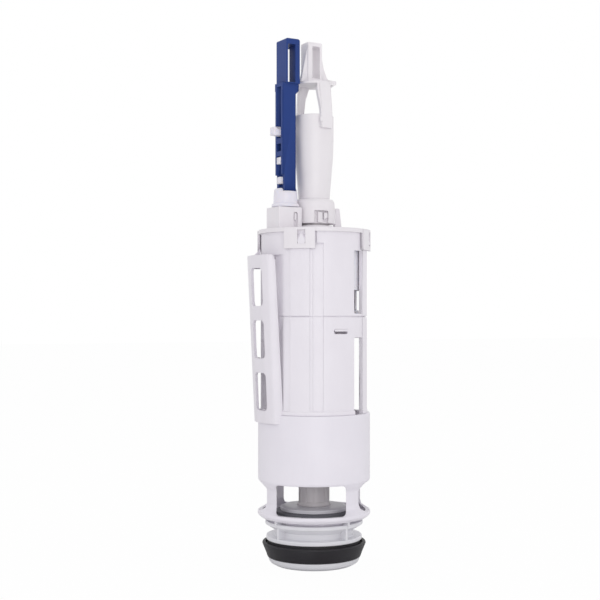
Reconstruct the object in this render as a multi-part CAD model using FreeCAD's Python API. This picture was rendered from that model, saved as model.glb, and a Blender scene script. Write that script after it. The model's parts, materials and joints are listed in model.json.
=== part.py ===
import FreeCAD, Part
import math
import os
from FreeCAD import Vector

# Dual flush drain valve for a toilet cistern, in millimetres.
# Z is the valve axis. The origin is the centre of the spigot's bottom end.
# The slots of both pull heads face -Y. Angles round the valve run from -Y towards +X.

# Fits and gaps
slide_gap = 0.35            # radial gap of a piece that slides in its guide
seat_gap = 0.3              # gap under a moving piece at its lower stop
snap_gap = 0.1              # gap between mouldings that clip into each other
pin_gap = 0.05              # radial gap of a pin in a bore
pass_gap = 0.4              # radial gap of pieces that pass each other
tab_gap = 0.2               # side gap of the rod's tabs in the bar

# Moulding habits
embed = 0.5                 # how far a rib or boss is sunk into the wall it grows from
overrun = 1.0               # how far a cutter runs past the face it opens
pick_margin = 0.1           # when edges to round are picked by their height
hair_round = 0.3            # edge roundings, from the finest up
small_round = 0.4
edge_round = 0.5
rim_round = 0.6
soft_round = 0.8
broad_round = 1.2

# Travel
flush_lift = 16.0
float_rise = 4.0

# Outlet spigot with its seal groove, plate, neck and collar
spigot_r = 30.0
spigot_round = 4.8
outlet_r = 22.4
outlet_lip = 2.2
groove_r = 27.5
groove_low = 5.2
plate_low = 16.4
plate_thick = 2.7
plate_r = 31.0
neck_r = 25.5
neck_top = 22.8
collar_r = 31.6
collar_low = 26.5
collar_thick = 2.2
spigot_wall = 2.2
water_bore_r = 23.1
seat_top = 32.3
seat_round = 0.9
base_rib_count = 4
base_rib_angle = 12.0
base_rib_thick = 1.6
base_rib_r = 31.0

# Black lip seal of the spigot
seal_body_thick = 2.3
lip_low_r = 30.2
lip_top_r = 33.6
lip_top = 14.9
lip_thick = 2.4
lip_root = 8.4
lip_edge_height = 0.9
lip_edge_reach = 0.4
lip_root_reach = 0.25
lip_root_round = 0.2

# Cage and cup, one moulding
dish_r = 36.5
dish_foot_r = 34.0
dish_foot_round = 1.0
dish_rim_height = 2.4
dish_rim_round = 1.8
dish_floor_low = 30.0
dish_floor_thick = 1.6
dish_rim = 35.0
dish_wall = 2.1
dish_collar_thick = 2.0
post_r = 31.4
post_thick = 2.4
post_low = 40.0
post_high = 49.6
post_round = 3.0
post_inner_round = 2.0
post_wall_rise = 2.0
post_wall_drop = 0.4
post_width_angle = 26.0
post_line_angle = -34.5
post_half_spread = 57.0
cup_r = 36.3
cup_wall = 2.2
cup_low = 54.3
cup_foot_height = 0.9
cup_foot_round = 2.4
cup_floor_rise = 3.0
cup_top = 98.2
window_corner = 2.2
window_reach = 4.0          # of the window cutters past the walls
spider_low = 57.0
spider_height = 4.0
spider_hub_rise = 1.5
spider_hub_wall = 2.4
spoke_count = 4
spoke_angle = 10.5
spoke_thick = 2.2

# Barrel in two tiers
barrel_step = 2.0           # the barrel is this much narrower than the cup
barrel_wall = 2.1
bead_raise = 0.9
bead_height = 2.8
bead_round = 0.9
skirt_depth = 8.0
seam = 160.3
lap_depth = 6.3
seam_line = 0.3             # open line between the two tiers
seam_line_depth = 0.5
lap_wall = 1.3
barrel_top = 213.3
flat_depth = 3.5
flat_top = 199.0
shelf_thick = 2.0
strut_raise = 0.5
strut_sink = 0.6
left_strut_angle = 45.0
left_strut_width = 21.0
right_strut_angle = 40.3
right_strut_width = 14.4
narrow_window_angle = 27.0
narrow_window_width = 12.0
wide_window_width = 85.0
lower_window_top = 146.0
upper_window_low = 162.0
upper_window_top = 200.0
barrel_window_corner = 3.0
window_inset = 3.0          # of the window cutters past the walls
window_corner_share = 0.4   # largest corner, as a share of a narrow window
groove_angle = -25.7
groove_width_angle = 11.4
groove_depth = 0.45
groove_top = 206.0
catch_low = 149.2
catch_height = 3.0
catch_tongue_height = 1.3
tongue_sink = 0.3
catch_width = 9.5
catch_patch_angle = 22.0

# Side guard, a leaning plate clipped to the flat of the barrel
guard_low = 90.0
guard_top = 199.0
guard_lean_out = 4.9        # how much further out its top stands than its foot
guard_thick = 1.8
guard_rear_low = 16.8       # reach behind and in front of the middle of the flat
guard_rear_top = 19.0
guard_front_low = 20.8
guard_front_top = 20.0
guard_corner = 3.0
guard_slot_width = 14.6
guard_slot_height = 24.0
guard_slot_corner = 3.0
guard_slot_top = 190.8
guard_slot_pitch = 33.1
guard_slot_count = 3
guard_web_angle = 3.0
guard_web_rise = 5.0
guard_web_turn = 26.0

# Top cap with its four clips
cap_overhang = 1.9
cap_thick = 2.7
cap_round = 0.7
cap_skirt_gap = 1.5         # between the cap's skirt and the raised float
cap_skirt_wall = 1.6
clip_thick = 1.8
clip_low = 202.5
clip_width_angle = 32.0
clip_slot_width = 5.0
clip_slot_low = 205.4
clip_slot_rise = 0.9        # above the barrel's top
clip_sink = 0.2
clip_slot_turn = 2.5        # of the slot and its lug from the middle of the clip
lug_low = 206.2
lug_height = 5.4
lug_edge_height = 1.6
lug_sink = 0.8
lug_face_gap = 0.2
clip_angles = (-135.0, -45.0, 45.0, 135.0)
boss_wall = 2.0
boss_height = 2.6
fin_low_x = 20.4
fin_top_x = 18.4
fin_inner_x = 15.2
fin_height = 12.0
fin_thick = 2.4

# Float stalks, moulded on the cap
stalk_r = 2.0
stalk_place_r = 23.1
stalk_angles = (35.0, 145.0)
stalk_head_r = 2.9
stalk_head_height = 2.5
stalk_head_edge = 1.2

# Overflow tube and what is fastened on it
tube_r = 9.6
tube_rib_r = 10.0
tube_bore_r = 8.0
tube_low = 14.0
tube_top = 234.0
tube_rib_count = 8
tube_rib_width = 2.4
tube_rib_top = 213.0
tube_foot_r = 11.0
tube_foot_height = 2.6
main_seal_r = 27.0
main_seal_thick = 3.0
main_seal_ridge_thick = 1.0
main_seal_lip = 3.4
main_seal_bevel = 0.8
ridge_foot_reach = 1.6
ridge_foot_rise = 0.3
ridge_top_reach = 2.0
ridge_outer_rise = 1.2
ridge_inner_rise = 1.4
ridge_back = 0.4
clamp_r = 21.8
clamp_thick = 2.7
clamp_edge = 0.7
clamp_bevel = 2.6
nut_r = 15.0
nut_height = 4.0
nut_fin_count = 4
nut_fin_thick = 1.6
nut_fin_sink = 0.6
nut_fin_angle = 45.0
nut_sleeve_wall = 1.8
main_float_space = 6.6      # water gap between the bell and the cup
main_float_low = 64.0
main_float_top = 94.0
float_wall = 1.6
main_float_round = 2.0
float_ring_r = 13.0
float_ring_height = 2.4
lift_collar_r = 14.0
catch_gap = 0.4             # between the raised collar and the latch hook's top
lift_collar_thick = 2.5
lift_collar_hub_r = 11.8
lift_collar_hub_height = 10.0
sleeve_low = 220.0
sleeve_top = 235.6
sleeve_low_r = 13.8
sleeve_top_r = 13.2
sleeve_window_angle = 2.0
sleeve_window_width = 8.6
sleeve_window_top = 230.2
sleeve_shoulder = 1.6
sleeve_shoulder_round = 1.0
sleeve_taper = 0.1
sleeve_rim_step = 1.0
sleeve_foot_height = 4.0
sleeve_foot_round = 2.0
sleeve_window_round = 1.4
sleeve_window_floor = 0.9
sleeve_hook_side = 2.4      # free space beside the hook
sleeve_hook_drop = 0.6
sleeve_hook_slant = 0.8
sleeve_hook_slant_top = 5.0
sleeve_hook_right_gap = 2.2
sleeve_hook_left_gap = 1.2
sleeve_hook_recess = 0.7
sleeve_hook_turn = 10.0
funnel_foot_r = 10.2
funnel_waist_r = 12.3
funnel_waist = 262.7
funnel_mouth_r = 12.7
funnel_throat_bend = 8.0
funnel_waist_bend = 30.0
funnel_mouth_bend = 12.0
funnel_mouth = 290.0
funnel_wall = 1.6

# White pull head
head_disc_low = 308.0
head_disc_thick = 3.5
head_disc_r = 12.2
head_leg_low = 281.0
head_leg_thick = 1.9
head_leg_width = 8.9
head_leg_top_width = 11.2
head_leg_turn = 6.0
head_leg_bend = 4.0
head_leg_sink = 1.0
head_leg_flare = 3.0
head_hook_low = 283.0
head_hook_height = 3.0
head_hook_width = 4.6
head_hook_gap = 0.2
head_post_width = 10.8
head_post_depth = 8.4
head_post_top = 337.0
head_post_round = 1.0
head_post_shift_x = -1.4
head_slot_width = 5.9
head_slot_low = 313.0
head_slot_high = 334.0
gusset_reach = 4.6
gusset_top = 332.0
gusset_thick = 2.0
head_ear_reach = 3.0
head_ear_width = 5.0
head_ear_thick = 2.2

# Half flush rod, its guide and the blue pull bar
rod_wall_space = 7.65       # from the barrel's flat wall to the middle of the rod
stem_width = 6.4
stem_depth = 5.2
turret_width = 18.7
turret_depth = 17.4
turret_top = 229.8
turret_wall = 1.8
turret_corner = 2.0
turret_slot_width = 3.4
turret_slot_shift = 3.6
turret_slot_low = 217.0
turret_slot_top = 226.2
turret_slot_depth = 1.0
turret_tongue_width = 1.6
turret_tongue_raise = 0.5
rod_flange_r = 9.0
rod_flange_thick = 1.4
rod_collar_r = 7.8
rod_collar_top = 242.0
rod_collar_rise = 1.2
rod_collar_taper = 0.4
rod_collar_round = 1.6
rod_core_sink = 3.0
rod_stem_sink = 2.5
bar_width = 9.8
bar_depth = 10.4
bar_wall = 1.6
bar_pocket_depth = 1.8      # from the left wall in to the bar's web
bar_web_thick = 1.0
bar_low = 240.3
bar_left_low = 250.7
bar_foot_recess = 1.44      # of the left face, at the foot
bar_round = 0.7
bar_shoulder = 304.5
bar_shoulder_slope = 2.0
bar_shoulder_cut = 3.0
bar_head_low = 308.8
bar_head_width = 9.8
bar_head_depth = 13.3
bar_head_shift = 1.9
bar_head_top = 338.0
bar_head_slot_width = 7.2
bar_head_slot_low = 309.4
bar_head_slot_high = 333.7
bar_head_round = 1.6
bar_channel_width = 5.7
bar_channel_top = 307.0
bar_channel_low = 274.0
bar_window_low = 265.7
bar_window_top = 270.6
bar_mouth_top = 262.6
long_tab_low = 275.5
long_tab_height = 5.4
long_tab_reach = 5.6
tab_lows = (257.6, 245.0)
tab_height = 4.2
tab_round = 1.6
tongue_height = 8.0         # thin tongue of the rod on the bar's right side
tongue_reach = 0.9
tongue_depth = 3.0

# Lift fork under the collar of the tube
fork_low = 140.0
fork_plate_low = 147.0
fork_plate_top = 151.4
fork_socket_wall = 1.7
fork_arm_width = 4.0
fork_half_angle = 78.0
fork_pin_r = 1.25
fork_pin_height = 143.5
fork_pin_reach = 0.3

# Half flush float
half_float_space = 1.2      # between the float and the barrel
half_float_drop = 10.3      # from the barrel's top to the float's top
half_float_height = 26.0
half_float_inner_r = 15.2
half_float_angle = 156.0
half_float_wall = 1.4
stalk_sleeve_wall = 1.4
leg_space = 1.0             # between the float's leg and the barrel's lap
leg_thick = 1.6
leg_width = 10.0
leg_end = 1.6               # below the pivot
leg_rise = 6.0              # into the float
leg_window_width = 3.8
leg_window_drop = 0.2       # of its foot, below the pivot
leg_window_height = 3.9

# Latch lever, its pin and its bracket
pivot_reach = 10.3          # from the leg's outer face to the pivot
pivot_drop = 0.3            # of the pivot, below the seam
latch_pin_r = 1.5
latch_hub_r = 3.2
latch_half_width = 5.9
ear_thick = 2.0
ear_gap = 0.3
ear_rise = 4.2              # above the pivot
bracket_drop = 5.7          # below the pivot
bracket_bar_height = 3.2
bracket_bar_thick = 1.8
bracket_bar_angle = 44.0
arm_thick = 2.0
arm_width = 6.0
nose_width = 3.0
nose_reach = 10.8
arm_height = 1.0
arm_space = 1.0             # between the arm's end and the float's leg
nose_half_height = 0.6
hook_tip_back = 2.0
hook_tip_height = 7.6
hook_thick = 2.2
hook_half_width = 5.0
hook_slant = 0.6
hook_root_inset = 0.3
hook_back_drop = 2.0
hook_back_round = 1.0
hook_tip_thick = 1.2
hook_undercut = 0.8
latch_pin_head_r = 2.4
latch_pin_head = 1.2
latch_pin_reach = 0.8

z_axis = Vector(0, 0, 1)
origin = Vector(0, 0, 0)

# Sizes that follow from the ones above
collar_top = collar_low + collar_thick
plate_top = plate_low + plate_thick
seal_foot = seat_top + main_seal_thick
clamp_top = seal_foot + clamp_thick
cup_inner_r = cup_r - cup_wall
barrel_r = cup_r - barrel_step
barrel_inner_r = barrel_r - barrel_wall
bead_r = barrel_r + bead_raise
strut_r = barrel_r + strut_raise
skirt_r = cup_inner_r - snap_gap
lap_r = barrel_inner_r - snap_gap
lap_inner_r = lap_r - lap_wall
flat_x = flat_depth - barrel_r
flat_inner_x = flat_x + barrel_wall
guard_low_r = cup_r + seat_gap + guard_thick
guard_top_r = guard_low_r + guard_lean_out
cap_r = barrel_r + cap_overhang
clip_r = strut_r + snap_gap + clip_thick
main_float_r = cup_inner_r - main_float_space
half_float_r = barrel_inner_r - half_float_space
leg_outer_x = lap_inner_r - leg_space
pivot_x = leg_outer_x - pivot_reach
pivot_z = seam - pivot_drop
ear_top = pivot_z + ear_rise
bracket_low = pivot_z - bracket_drop
leg_low = pivot_z - leg_end
leg_window_low = pivot_z - leg_window_drop
half_float_top = barrel_top - half_float_drop
half_float_low = half_float_top - half_float_height
cap_skirt_low = half_float_top + float_rise + cap_skirt_gap
lift_collar_low = pivot_z + hook_tip_height + catch_gap - flush_lift
rod_x = flat_inner_x + rod_wall_space
turret_left_x = rod_x - turret_width / 2
turret_right_x = rod_x + turret_width / 2
latch_swing = math.degrees(math.asin(float_rise / (leg_outer_x - leg_thick / 2 - pivot_x)))
lap_flat_x = flat_inner_x + snap_gap
cap_top = barrel_top + cap_thick
guide_r = tube_rib_r + slide_gap
sleeve_clear_r = sleeve_low_r + pass_gap
stem_hole_width = stem_width + 2 * slide_gap
stem_hole_depth = stem_depth + 2 * slide_gap
rod_flange_low = turret_top + seat_gap
funnel_mouth_inner_r = funnel_mouth_r - funnel_wall
bar_web_inner = bar_wall + bar_pocket_depth + bar_web_thick


def outline(corners):
    """Closed outline in the XZ plane from (x, z) or (x, z, corner radius) corners."""
    starts = []
    ends = []
    arcs = []
    count = len(corners)
    for index in range(count):
        here = Vector(corners[index][0], 0, corners[index][1])
        before = Vector(corners[index - 1][0], 0, corners[index - 1][1])
        following = corners[(index + 1) % count]
        after = Vector(following[0], 0, following[1])
        radius = corners[index][2] if len(corners[index]) > 2 else 0
        if radius == 0:
            starts.append(here)
            ends.append(here)
            arcs.append(None)
            continue
        to_before = (before - here).normalize()
        to_after = (after - here).normalize()
        half_turn = to_before.getAngle(to_after) / 2
        reach = radius / math.tan(half_turn)
        middle = (to_before + to_after).normalize() * (radius / math.sin(half_turn) - radius)
        first = here + to_before * reach
        last = here + to_after * reach
        starts.append(first)
        ends.append(last)
        arcs.append(Part.Arc(first, here + middle, last).toShape())
    edges = []
    for index in range(count):
        if arcs[index]:
            edges.append(arcs[index])
        next_start = starts[(index + 1) % count]
        if ends[index].distanceToPoint(next_start) > 1e-6:
            edges.append(Part.LineSegment(ends[index], next_start).toShape())
    return Part.Wire(Part.__sortEdges__(edges))


def turned(corners, angle_mid=0.0, angle_width=360.0):
    """Solid of revolution about Z; a part turn is centred on angle_mid."""
    face = Part.Face(outline(corners))
    if angle_width >= 360.0:
        return face.revolve(origin, z_axis, 360)
    solid = face.revolve(origin, z_axis, angle_width)
    solid.rotate(origin, z_axis, angle_mid - 90.0 - angle_width / 2)
    return solid


def ring(inner_r, outer_r, low, high):
    return turned([(inner_r, low), (outer_r, low), (outer_r, high), (inner_r, high)])


def sector(inner_r, outer_r, low, high, angle_mid, angle_width):
    corners = [(inner_r, low), (outer_r, low), (outer_r, high), (inner_r, high)]
    return turned(corners, angle_mid, angle_width)


def rounded_sector(inner_r, outer_r, low, high, angle_mid, angle_width, corner):
    """Sector whose four radial edges are rounded, to cut a window."""
    solid = sector(inner_r, outer_r, low, high, angle_mid, angle_width)
    radial = []
    for edge in solid.Edges:
        ends = [vertex.Point for vertex in edge.Vertexes]
        if len(ends) == 2 and abs(ends[0].z - ends[1].z) < 1e-6:
            if edge.Curve.TypeId == "Part::GeomLine":
                radial.append(edge)
    return solid.makeFillet(corner, radial)


def block(x_low, x_high, y_low, y_high, low, high):
    return Part.makeBox(x_high - x_low, y_high - y_low, high - low, Vector(x_low, y_low, low))


def centred_block(x_mid, width, depth, low, high):
    return block(x_mid - width / 2, x_mid + width / 2, -depth / 2, depth / 2, low, high)


def round_upright_edges(solid, radius):
    """Rounds the straight edges that run along Z."""
    upright = []
    for edge in solid.Edges:
        ends = [vertex.Point for vertex in edge.Vertexes]
        if len(ends) == 2 and math.hypot(ends[0].x - ends[1].x, ends[0].y - ends[1].y) < 1e-6:
            upright.append(edge)
    return solid.makeFillet(radius, upright)


def around(solid, angle):
    """Copy turned about Z from the front to the given angle."""
    copy = solid.copy()
    copy.rotate(origin, z_axis, angle)
    return copy


def prism_y(corners, y_low, y_high):
    """Outline in the XZ plane pulled along Y."""
    face = Part.Face(outline(corners))
    face.translate(Vector(0, y_low, 0))
    return face.extrude(Vector(0, y_high - y_low, 0))


def fused(solids):
    whole = solids[0].fuse(solids[1:]) if len(solids) > 1 else solids[0]
    return whole.removeSplitter()


def outlet_base():
    body = turned([
        (outlet_r, 0), (spigot_r, 0, spigot_round), (spigot_r, groove_low), (groove_r, groove_low),
        (groove_r, plate_low), (plate_r, plate_low, rim_round), (plate_r, plate_top, rim_round),
        (neck_r, plate_top), (neck_r, neck_top), (collar_r, collar_low),
        (collar_r, collar_top, edge_round), (neck_r, collar_top),
        (neck_r, seat_top, seat_round), (water_bore_r, seat_top, seat_round),
        (water_bore_r, neck_top), (groove_r - spigot_wall, plate_low),
        (groove_r - spigot_wall, outlet_lip), (outlet_r, outlet_lip)])
    ribs = []
    rib_low = plate_top - embed
    for index in range(base_rib_count):
        rib = block(-base_rib_thick / 2, base_rib_thick / 2, -base_rib_r, -neck_r + embed,
                    rib_low, dish_floor_low)
        ribs.append(around(rib, base_rib_angle + index * 360.0 / base_rib_count))
    collar_space = ring(water_bore_r, neck_r + dish_collar_thick + 2 * snap_gap,
                        collar_top, dish_floor_low + overrun)
    body = fused([body] + [rib.cut(collar_space) for rib in ribs])
    return body


def outlet_seal():
    body_r = groove_r + snap_gap + seal_body_thick
    low = groove_low + snap_gap
    return turned([
        (groove_r + snap_gap, low), (lip_low_r, low),
        (lip_top_r, lip_top - lip_edge_height, soft_round),
        (lip_top_r - lip_edge_reach, lip_top, edge_round), (lip_top_r - lip_thick, lip_top, rim_round),
        (body_r + lip_root_reach, lip_root, lip_root_round), (body_r, plate_low - snap_gap),
        (groove_r + snap_gap, plate_low - snap_gap)])


def cage_cup():
    collar_in = neck_r + snap_gap
    collar_out = collar_in + dish_collar_thick
    post_inner = post_r - post_thick
    dish_inner = dish_r - dish_wall
    floor_top = dish_floor_low + dish_floor_thick
    body = turned([
        (collar_in, collar_top), (collar_out, collar_top), (collar_out, dish_floor_low),
        (dish_foot_r, dish_floor_low, dish_foot_round),
        (dish_r, dish_rim - dish_rim_height, dish_rim_round), (dish_r, dish_rim, small_round),
        (post_r, post_low, post_round), (post_r, post_high, post_round),
        (cup_r, cup_low + cup_foot_height, cup_foot_round),
        (cup_r, cup_top, rim_round), (cup_inner_r, cup_top),
        (cup_inner_r, cup_low + cup_floor_rise, broad_round),
        (post_inner, post_high + post_wall_rise, post_inner_round),
        (post_inner, post_low - post_wall_drop, post_inner_round),
        (dish_inner, dish_rim - post_wall_drop, rim_round), (dish_inner, floor_top, broad_round),
        (collar_in, floor_top)])
    for index, mid in enumerate(window_mids()):
        window = rounded_sector(post_inner - window_reach, dish_r + window_reach, dish_rim, cup_low,
                                mid, window_widths()[index], window_corner)
        body = body.cut(window)
    spider = [ring(guide_r, guide_r + spider_hub_wall, spider_low,
                   spider_low + spider_height + spider_hub_rise)]
    for index in range(spoke_count):
        spoke = block(-spoke_thick / 2, spoke_thick / 2, -cup_inner_r - embed, -guide_r - 2 * embed,
                      spider_low, spider_low + spider_height)
        spider.append(around(spoke, spoke_angle + index * 360.0 / spoke_count))
    return fused([body] + spider)


def window_mids():
    return [post_line_angle, post_line_angle + 90, post_line_angle + 180, post_line_angle - 90]


def window_widths():
    wide = 2 * post_half_spread - post_width_angle
    narrow = 180 - 2 * post_half_spread - post_width_angle
    return [wide, narrow, wide, narrow]


def d_plate(outer_r, cut_x, low, high):
    """Round plate with its left side cut flat at cut_x."""
    disc = Part.makeCylinder(outer_r, high - low, Vector(0, 0, low))
    return disc.cut(block(-2 * outer_r, cut_x, -2 * outer_r, 2 * outer_r, low - overrun,
                          high + overrun))


def d_ring(outer_r, wall, cut_x, low, high):
    """Round wall with its left side flat."""
    outer = d_plate(outer_r, cut_x, low, high)
    return outer.cut(d_plate(outer_r - wall, cut_x + wall, low - overrun, high + overrun))


def strut_bands(low, high):
    bands = []
    for angle, width in strut_places():
        bands.append(sector(barrel_r - strut_sink, strut_r, low, high, angle, width))
    return bands


def strut_places():
    places = []
    for angle, width in ((-left_strut_angle, left_strut_width),
                         (right_strut_angle, right_strut_width)):
        places.append((angle, width))
        places.append((180.0 - angle, width))
    return places


def barrel_windows(low, high, low_corner):
    """Cutters of the three windows of one tier, all on the right half."""
    cutters = []
    for angle, width in ((narrow_window_angle, narrow_window_width), (90.0, wide_window_width),
                         (180.0 - narrow_window_angle, narrow_window_width)):
        chord = math.radians(width) * (lap_inner_r - window_inset)
        corner = min(barrel_window_corner, window_corner_share * chord)
        cutter = rounded_sector(lap_inner_r - window_inset, bead_r + window_inset, low, high, angle,
                                width, corner)
        if not low_corner:
            foot = sector(lap_inner_r - window_inset, bead_r + window_inset, low,
                          low + 2 * barrel_window_corner,
                          angle, width)
            cutter = cutter.fuse(foot)
        cutters.append(cutter)
    return cutters


def front_groove(low, high):
    return sector(barrel_r - groove_depth, strut_r + overrun, low, high, groove_angle,
                  groove_width_angle)


def lower_barrel():
    wall = d_ring(barrel_r, barrel_wall, flat_x, cup_top, seam)
    skirt = ring(barrel_inner_r, skirt_r, cup_top - skirt_depth, cup_top + embed)
    bead = turned([(barrel_inner_r, cup_top), (bead_r, cup_top, edge_round),
                   (bead_r, cup_top + bead_height, bead_round),
                   (barrel_inner_r, cup_top + bead_height)])
    shelf = d_segment(barrel_r, flat_inner_x, cup_top, cup_top + shelf_thick)
    body = fused([wall, skirt, bead, shelf] + strut_bands(cup_top + bead_height - embed, seam))
    for cutter in barrel_windows(cup_top, lower_window_top, False):
        body = body.cut(cutter)
    body = body.cut(front_groove(cup_top + bead_height, seam + overrun))
    for angle in (0.0, 180.0):
        catch = block(-catch_width / 2, catch_width / 2, -bead_r - overrun, -barrel_inner_r + overrun,
                      catch_low, catch_low + catch_height)
        body = body.cut(around(catch, angle))
    return body.removeSplitter()


def d_segment(outer_r, inner_x, low, high):
    """Shelf that closes the step between the flat wall and the round wall."""
    disc = Part.makeCylinder(outer_r, high - low, Vector(0, 0, low))
    return disc.cut(block(inner_x, 2 * outer_r, -2 * outer_r, 2 * outer_r, low - overrun,
                          high + overrun))


def upper_barrel():
    flat_wall = d_ring(barrel_r, barrel_wall, flat_x, seam + seam_line, flat_top + shelf_thick)
    top_wall = ring(barrel_inner_r, barrel_r, flat_top, barrel_top)
    shelf = d_segment(barrel_r, flat_inner_x, flat_top, flat_top + shelf_thick)
    lap = d_ring(lap_r, lap_wall, lap_flat_x, seam - lap_depth, seam)
    step_r = barrel_r - seam_line_depth
    lap_step = d_ring(step_r, step_r - lap_inner_r, flat_x + seam_line_depth, seam, upper_window_low)
    parts = [flat_wall, top_wall, shelf, lap, lap_step] + strut_bands(seam + seam_line, barrel_top)
    body = fused(parts)
    for cutter in barrel_windows(upper_window_low, upper_window_top, True):
        body = body.cut(cutter)
    body = body.cut(front_groove(seam - overrun, groove_top))
    additions = []
    for angle in (0.0, 180.0):
        tongue_top = catch_low + catch_height - snap_gap
        tongue_low = tongue_top - catch_tongue_height
        tongue = block(-catch_width / 2 + 2 * snap_gap, catch_width / 2 - 2 * snap_gap, -barrel_r,
                       -lap_inner_r - tongue_sink, tongue_low, tongue_top)
        additions.append(around(tongue, angle))
        skirt_patch = sector(lap_inner_r, lap_r, tongue_low, seam - lap_depth + embed,
                             angle, catch_patch_angle)
        additions.append(skirt_patch)
    for angle in clip_angles:
        additions.append(around(clip_lug(), angle + clip_slot_turn))
    return fused([body] + additions)


def clip_lug():
    """Ramped catch that stands in the slot of a cap clip, drawn at the front."""
    half = clip_slot_width / 2 - snap_gap
    ramp = prism_y([(-clip_r + lug_face_gap, lug_low), (-barrel_r + lug_sink, lug_low),
                    (-barrel_r + lug_sink, lug_low + lug_height),
                    (-strut_r - lug_face_gap, lug_low + lug_height),
                    (-clip_r + lug_face_gap, lug_low + lug_edge_height)], -half, half)
    return around(ramp, 90.0)


def guard_plate(inner_shift, outer_shift, low, high, angle_mid, angle_width):
    """Leaning conical plate between two offsets from the guard's outer face."""
    lean = (guard_top_r - guard_low_r) / (guard_top - guard_low)
    low_r = guard_low_r + (low - guard_low) * lean
    high_r = guard_low_r + (high - guard_low) * lean
    return turned([(low_r - inner_shift, low), (low_r + outer_shift, low),
                   (high_r + outer_shift, high), (high_r - inner_shift, high)],
                  angle_mid, angle_width)


def side_guard():
    cone = guard_plate(guard_thick, 0, guard_low, guard_top, 0.0, 180.0)
    shape = prism_y([(-guard_rear_low, guard_low, guard_corner),
                     (guard_front_low, guard_low, guard_corner),
                     (guard_front_top, guard_top, guard_corner),
                     (-guard_rear_top, guard_top, guard_corner)], -2 * guard_top_r, 0)
    plate = around(cone.common(shape), -90.0)
    for index in range(guard_slot_count):
        top = guard_slot_top - index * guard_slot_pitch
        slot = prism_y([(-guard_slot_width / 2, top - guard_slot_height, guard_slot_corner),
                        (guard_slot_width / 2, top - guard_slot_height, guard_slot_corner),
                        (guard_slot_width / 2, top, guard_slot_corner),
                        (-guard_slot_width / 2, top, guard_slot_corner)],
                       -guard_top_r - window_reach, -barrel_r - overrun)
        plate = plate.cut(around(slot, -90.0))
    web = guard_web()
    for index in range(guard_slot_count):
        top = guard_slot_top - index * guard_slot_pitch
        web = web.cut(block(-2 * guard_top_r, 0, 0, 2 * guard_top_r, top - guard_slot_height, top))
    return fused([plate, web])


def guard_web():
    """Rear wall of the guard, which reaches in to the edge of the barrel's flat."""
    top_r = guard_top_r - guard_thick / 2
    low_r = guard_low_r - guard_thick / 2
    web_low = cup_top + bead_height + seat_gap
    lean = (guard_top_r - guard_low_r) / (guard_top - guard_low)
    web_low_r = low_r + (web_low - guard_low) * lean
    return turned([(strut_r + snap_gap, web_low), (web_low_r, web_low),
                   (top_r, guard_top - guard_corner),
                   (strut_r + snap_gap, guard_top + guard_web_rise)],
                  guard_web_angle / 2 - 90.0 - guard_web_turn, guard_web_angle)


def top_cap():
    disc = turned([(guide_r, barrel_top), (cap_r, barrel_top), (cap_r, cap_top, cap_round),
                   (guide_r + boss_wall, cap_top), (guide_r + boss_wall, cap_top + boss_height),
                   (guide_r, cap_top + boss_height)])
    skirt_out = barrel_inner_r - snap_gap
    skirt = ring(skirt_out - cap_skirt_wall, skirt_out, cap_skirt_low, barrel_top + embed)
    solids = [disc, skirt]
    for angle in clip_angles:
        solids.append(sector(strut_r + snap_gap, clip_r, clip_low, cap_top - clip_sink,
                             angle, clip_width_angle))
    fin = prism_y([(fin_inner_x, cap_top - embed), (fin_low_x, cap_top - embed),
                   (fin_top_x, cap_top + fin_height, soft_round), (fin_inner_x, cap_top + fin_height)],
                  -fin_thick / 2, fin_thick / 2)
    solids.append(fin)
    for angle in stalk_angles:
        solids.append(float_stalk(angle))
    body = fused(solids)
    for angle in clip_angles:
        slot = block(-clip_slot_width / 2, clip_slot_width / 2, -clip_r - overrun, -strut_r,
                     clip_slot_low, barrel_top + clip_slot_rise)
        body = body.cut(around(slot, angle + clip_slot_turn))
    stem_hole = centred_block(rod_x, stem_hole_width, stem_hole_depth, barrel_top - overrun,
                              cap_top + overrun)
    return body.cut(stem_hole).removeSplitter()


def float_stalk(angle):
    """Stalk with a snap head, hanging from the cap."""
    head_top = half_float_low - seat_gap
    head_low = head_top - stalk_head_height
    stalk = turned([(0, head_low), (stalk_r, head_low), (stalk_head_r, head_low + stalk_head_edge),
                    (stalk_head_r, head_top), (stalk_r, head_top), (stalk_r, barrel_top + embed),
                    (0, barrel_top + embed)])
    stalk.translate(Vector(0, -stalk_place_r, 0))
    return around(stalk, angle)


def half_flush_guide():
    """Hollow turret on the cap, scooped out for the sleeve beside it."""
    outer = block(turret_left_x, turret_right_x, -turret_depth / 2, turret_depth / 2,
                  cap_top, turret_top)
    outer = round_upright_edges(outer, turret_corner)
    inner = block(turret_left_x + turret_wall, turret_right_x - turret_wall,
                  -turret_depth / 2 + turret_wall, turret_depth / 2 - turret_wall,
                  cap_top - overrun, turret_top - turret_wall)
    hole = centred_block(rod_x, stem_hole_width, stem_hole_depth, cap_top, turret_top + overrun)
    scoop = Part.makeCylinder(sleeve_clear_r, turret_top - cap_top + 2 * overrun,
                              Vector(0, 0, cap_top - overrun))
    slot_x = (turret_left_x + turret_right_x) / 2 + turret_slot_shift
    front_y = -turret_depth / 2
    slot = block(slot_x - turret_slot_width / 2, slot_x + turret_slot_width / 2,
                 -turret_depth, front_y + turret_slot_depth, turret_slot_low, turret_slot_top)
    scoop_wall = Part.makeCylinder(sleeve_clear_r + turret_wall, turret_top - cap_top,
                                   Vector(0, 0, cap_top))
    shell = outer.cut(inner).fuse(outer.common(scoop_wall))
    tongue = block(slot_x - turret_tongue_width / 2, slot_x + turret_tongue_width / 2,
                   front_y + turret_slot_depth - turret_tongue_raise, front_y + turret_wall,
                   turret_slot_low, turret_slot_top - turret_slot_width / 2)
    return shell.cut(hole).cut(scoop).cut(slot).fuse(tongue).removeSplitter()


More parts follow.
